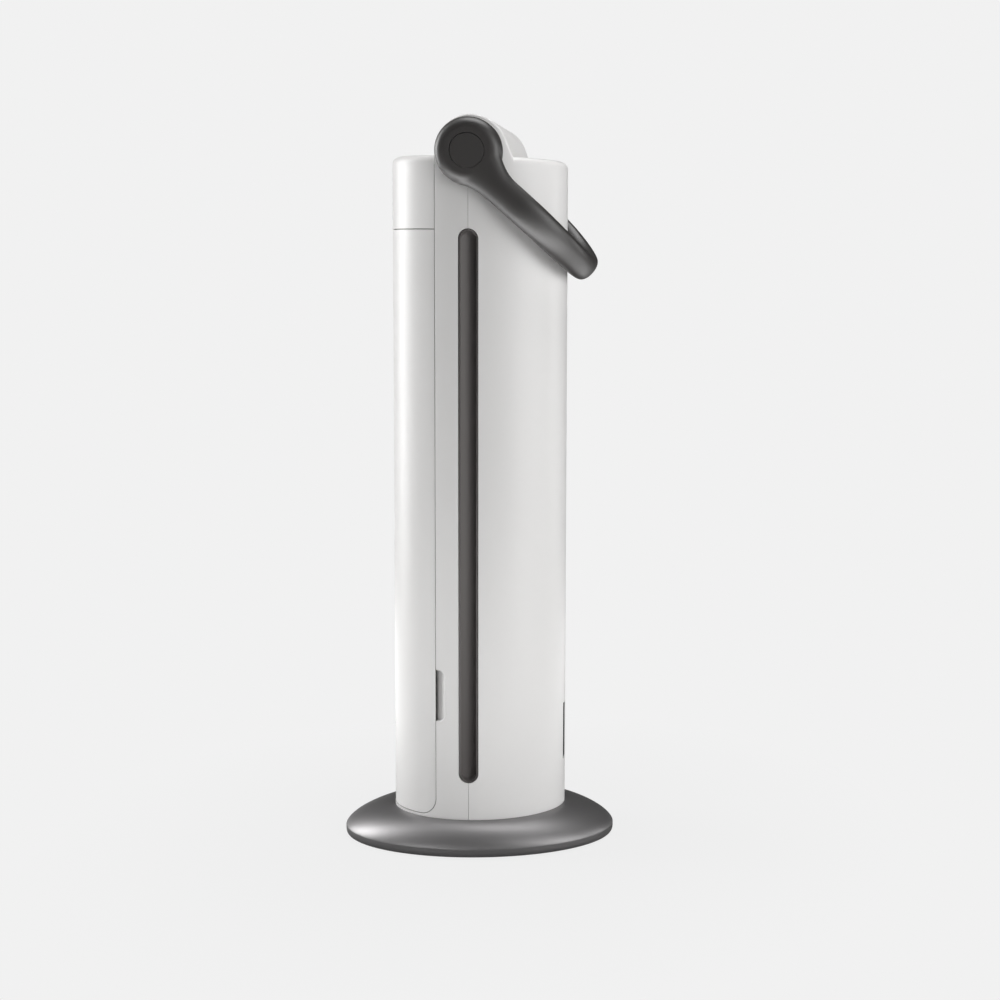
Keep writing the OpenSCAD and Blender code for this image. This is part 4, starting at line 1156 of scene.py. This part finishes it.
for side, node in ((1, "hub_cap_right"), (-1, "hub_cap_left")):
    cap = hub_rod(node + "_soft", side, CAP_R, CAP_SEAT, CAP_FACE, CAP_SIDES)
    soften(cap, on_cap_rim, CAP_ROUND)
    stand_for(cap, node)

# %% [markdown]
# ## Smooth copies
# The other CAD pieces are exact too, but their curves reach Blender as flat facets of loose triangles. A merged
# copy of the mesh shades its gentle bends smoothly and keeps every edge above an angle crisp. It is worth doing
# where such a curve can be seen, which is in the liners of the two side slots.

# %% Copy, merge and shade
CAD_WELD = 0.000002

for node in ("outlet_liner_right", "outlet_liner_left"):
    piece = twin(frame["nodes"][node], node + "_smooth")
    shape = bmesh.new()
    shape.from_mesh(piece.data)
    bmesh.ops.remove_doubles(shape, verts=shape.verts, dist=CAD_WELD)
    shape.to_mesh(piece.data)
    shape.free()
    stand_for(piece, node)

# %% [markdown]
# ## The studio
# The floor is a wide pale disc. The camera sees the plain colour of the backdrop, and close to the purifier a small
# share of it is a plain matt surface, which keeps the soft shadow of the base. Light that bounces off the floor
# meets the matt surface too.

# %% Floor
FLOOR_RADIUS = 30.0
floor_shape = bmesh.new()
bmesh.ops.create_circle(floor_shape, cap_ends=True, segments=96, radius=FLOOR_RADIUS / MM)
floor = new_piece("floor", floor_shape)
floor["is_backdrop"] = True
print("the floor is", round(floor.dimensions.x), "m across")

# %% The floor as the camera sees it
BACKDROP = (0.88, 0.88, 0.88, 1.0)
SHADOW_SHARE, SHADOW_NEAR, SHADOW_FADE = 0.07, 0.12, 4.0

floor_finish = Finish("floor", (0.6, 0.6, 0.6), 0.9, Specular_IOR_Level=0.0)
floor.data.materials.append(floor_finish.material)
rays = floor_finish.node("ShaderNodeLightPath").outputs
seen = Number(floor_finish, rays["Is Camera Ray"]).at_least(Number(floor_finish, rays["Is Transmission Ray"]))
far = floor_finish.node("ShaderNodeVectorMath", {"operation": "LENGTH"}, {0: floor_finish.place})
distance = Number(floor_finish, far.outputs["Value"])
nearness = (1 - (distance - SHADOW_NEAR) * SHADOW_FADE).held()
matt = floor_finish.shader.outputs[0]
glow = floor_finish.node("ShaderNodeEmission", inputs={"Color": BACKDROP, "Strength": 1.0}).outputs[0]
share = seen * (1 - SHADOW_SHARE * nearness)
plain = floor_finish.node("ShaderNodeMixShader", inputs={0: share, 1: matt, 2: glow}).outputs[0]
floor_finish.tell()

# %% [markdown]
# ## What the base mirrors in the floor
# The base is a satin, half metallic plastic, so it shows what lies around it. To mirrored rays the floor is dim,
# with bright sheets laid out on it: one beside the purifier, on the camera's side, and two weaker ones beyond the
# ends of the base. Close to the base it stays dim, which leaves the rim and the foot of the column dark.

# %% The floor as the base mirrors it
DIM, SHEET = 0.1, 6.5
SIDE_START, SIDE_FADE = 0.2, 5.0
END_START, END_FADE, END_SHARE = 0.04, 12.0, 0.35
SHEET_REACH, REACH_FADE = 1.2, 2.5

sideways, lengthwise = floor_finish.axes()[:2]
side_sheet = ((sideways - SIDE_START) * SIDE_FADE).held()
end_sheets = ((lengthwise * lengthwise - END_START) * END_FADE).held()
within_reach = ((SHEET_REACH - distance) * REACH_FADE).held()
lit = side_sheet.at_least(END_SHARE * end_sheets) * within_reach
sheets = floor_finish.node("ShaderNodeEmission", inputs={"Strength": DIM + SHEET * lit}).outputs[0]
is_mirrored = Number(floor_finish, rays["Is Glossy Ray"])
whole = floor_finish.node("ShaderNodeMixShader", inputs={0: is_mirrored, 1: plain, 2: sheets}).outputs[0]
floor_finish.tree.links.new(whole, floor_finish.tree.nodes["Material Output"].inputs["Surface"])
floor_finish.tell()

# %% [markdown]
# ## What the dark plastics mirror
# A room isn't the same all round. A pale wall stands in front of the door and fades towards the rear, and it is
# dark behind the camera and on the side away from it. The world shows that only to mirrored rays, as a brightness
# that depends on their direction. The camera sees the plain backdrop.

# %% Backdrop
ROOM_GLOW = 0.03
CAMERA_SIDE, CAMERA_FADE = 0.6, 1.5
AWAY_SIDE, AWAY_FADE = 0.55, 2.5

world = bpy.data.worlds.new("studio")
world.use_nodes = True
bpy.context.scene.world = world
sky = Network(world.node_tree)
sky_rays = sky.node("ShaderNodeLightPath").outputs
towards = sky.node("ShaderNodeTexCoord").outputs["Generated"]
parts = sky.node("ShaderNodeSeparateXYZ", inputs={0: towards}).outputs
x_part, y_part = Number(sky, parts[0]), Number(sky, parts[1])
frontal = 0.5 - 0.5 * y_part
not_behind_camera = ((CAMERA_SIDE - x_part) * CAMERA_FADE).held()
not_away = ((x_part + AWAY_SIDE) * AWAY_FADE).held()
wall = frontal * not_behind_camera * not_away * Number(sky, sky_rays["Is Glossy Ray"])
room = sky.node("ShaderNodeBackground", inputs={"Color": (1.0, 1.0, 1.0, 1.0), "Strength": ROOM_GLOW + wall})
shown = sky.node("ShaderNodeBackground", inputs={"Color": BACKDROP})
seen_sky = Number(sky, sky_rays["Is Camera Ray"]).at_least(Number(sky, sky_rays["Is Transmission Ray"]))
sky_mix = sky.node("ShaderNodeMixShader", inputs={0: seen_sky, 1: room.outputs[0], 2: shown.outputs[0]})
sky.tree.links.new(sky_mix.outputs[0], sky.tree.nodes["World Output"].inputs["Surface"])
print("the backdrop has", len(sky.tree.nodes), "nodes")

# %% [markdown]
# ## Lamps
# Tall soft boxes suit an upright column: each one draws a long, even highlight from top to bottom. Two stand in
# front of the door, a strong even one and a narrow one that draws the highlight. A wide one and a weaker, higher
# one light the side that faces the camera, a weak one stands behind, and a flat one hangs overhead. A low one near
# the floor brightens the foot of the side wall.


# %% Soft boxes
def soft_box(name, azimuth, height, distance, size, power, target=(0.0, 0.0, 0.3)):
    """A soft box at an azimuth from +X towards +Y, turned to the target."""
    lamp = bpy.data.lights.new(name, "AREA")
    lamp.shape = "RECTANGLE"
    lamp.size, lamp.size_y = size
    lamp.energy = power
    piece = bpy.data.objects.new(name, lamp)
    piece.location = (distance * cos(radians(azimuth)), distance * sin(radians(azimuth)), height)
    towards = Vector(target) - piece.location
    piece.rotation_euler = towards.to_track_quat("-Z", "Y").to_euler()
    piece.visible_camera = False
    bpy.context.scene.collection.objects.link(piece)


soft_box("front_box", -91, 1.1, 1.5, (0.4, 1.2), 6, (0.0, 0.0, 0.4))
soft_box("front_even", -99, 0.5, 1.6, (0.6, 1.4), 21)
soft_box("side_wide", 58, 0.65, 2.0, (1.6, 1.4), 19)
soft_box("side_high", 40, 1.2, 1.7, (1.6, 1.0), 6, (0.0, 0.0, 0.45))
soft_box("rear_box", 105, 0.5, 1.8, (0.6, 1.0), 5)
soft_box("top_box", 100, 2.1, 0.12, (1.2, 1.2), 20)
soft_box("low_side", -35, 0.12, 0.9, (0.5, 0.16), 0.8, (0.0, 0.0, 0.1))
print("lamps:", len(bpy.data.lights))

# %% [markdown]
# ## Measure and finish
# The looks must not change the size. The box of the dressed model is printed.

# %% Print the dressed model's box
print("the dressed model spans", whole_box())
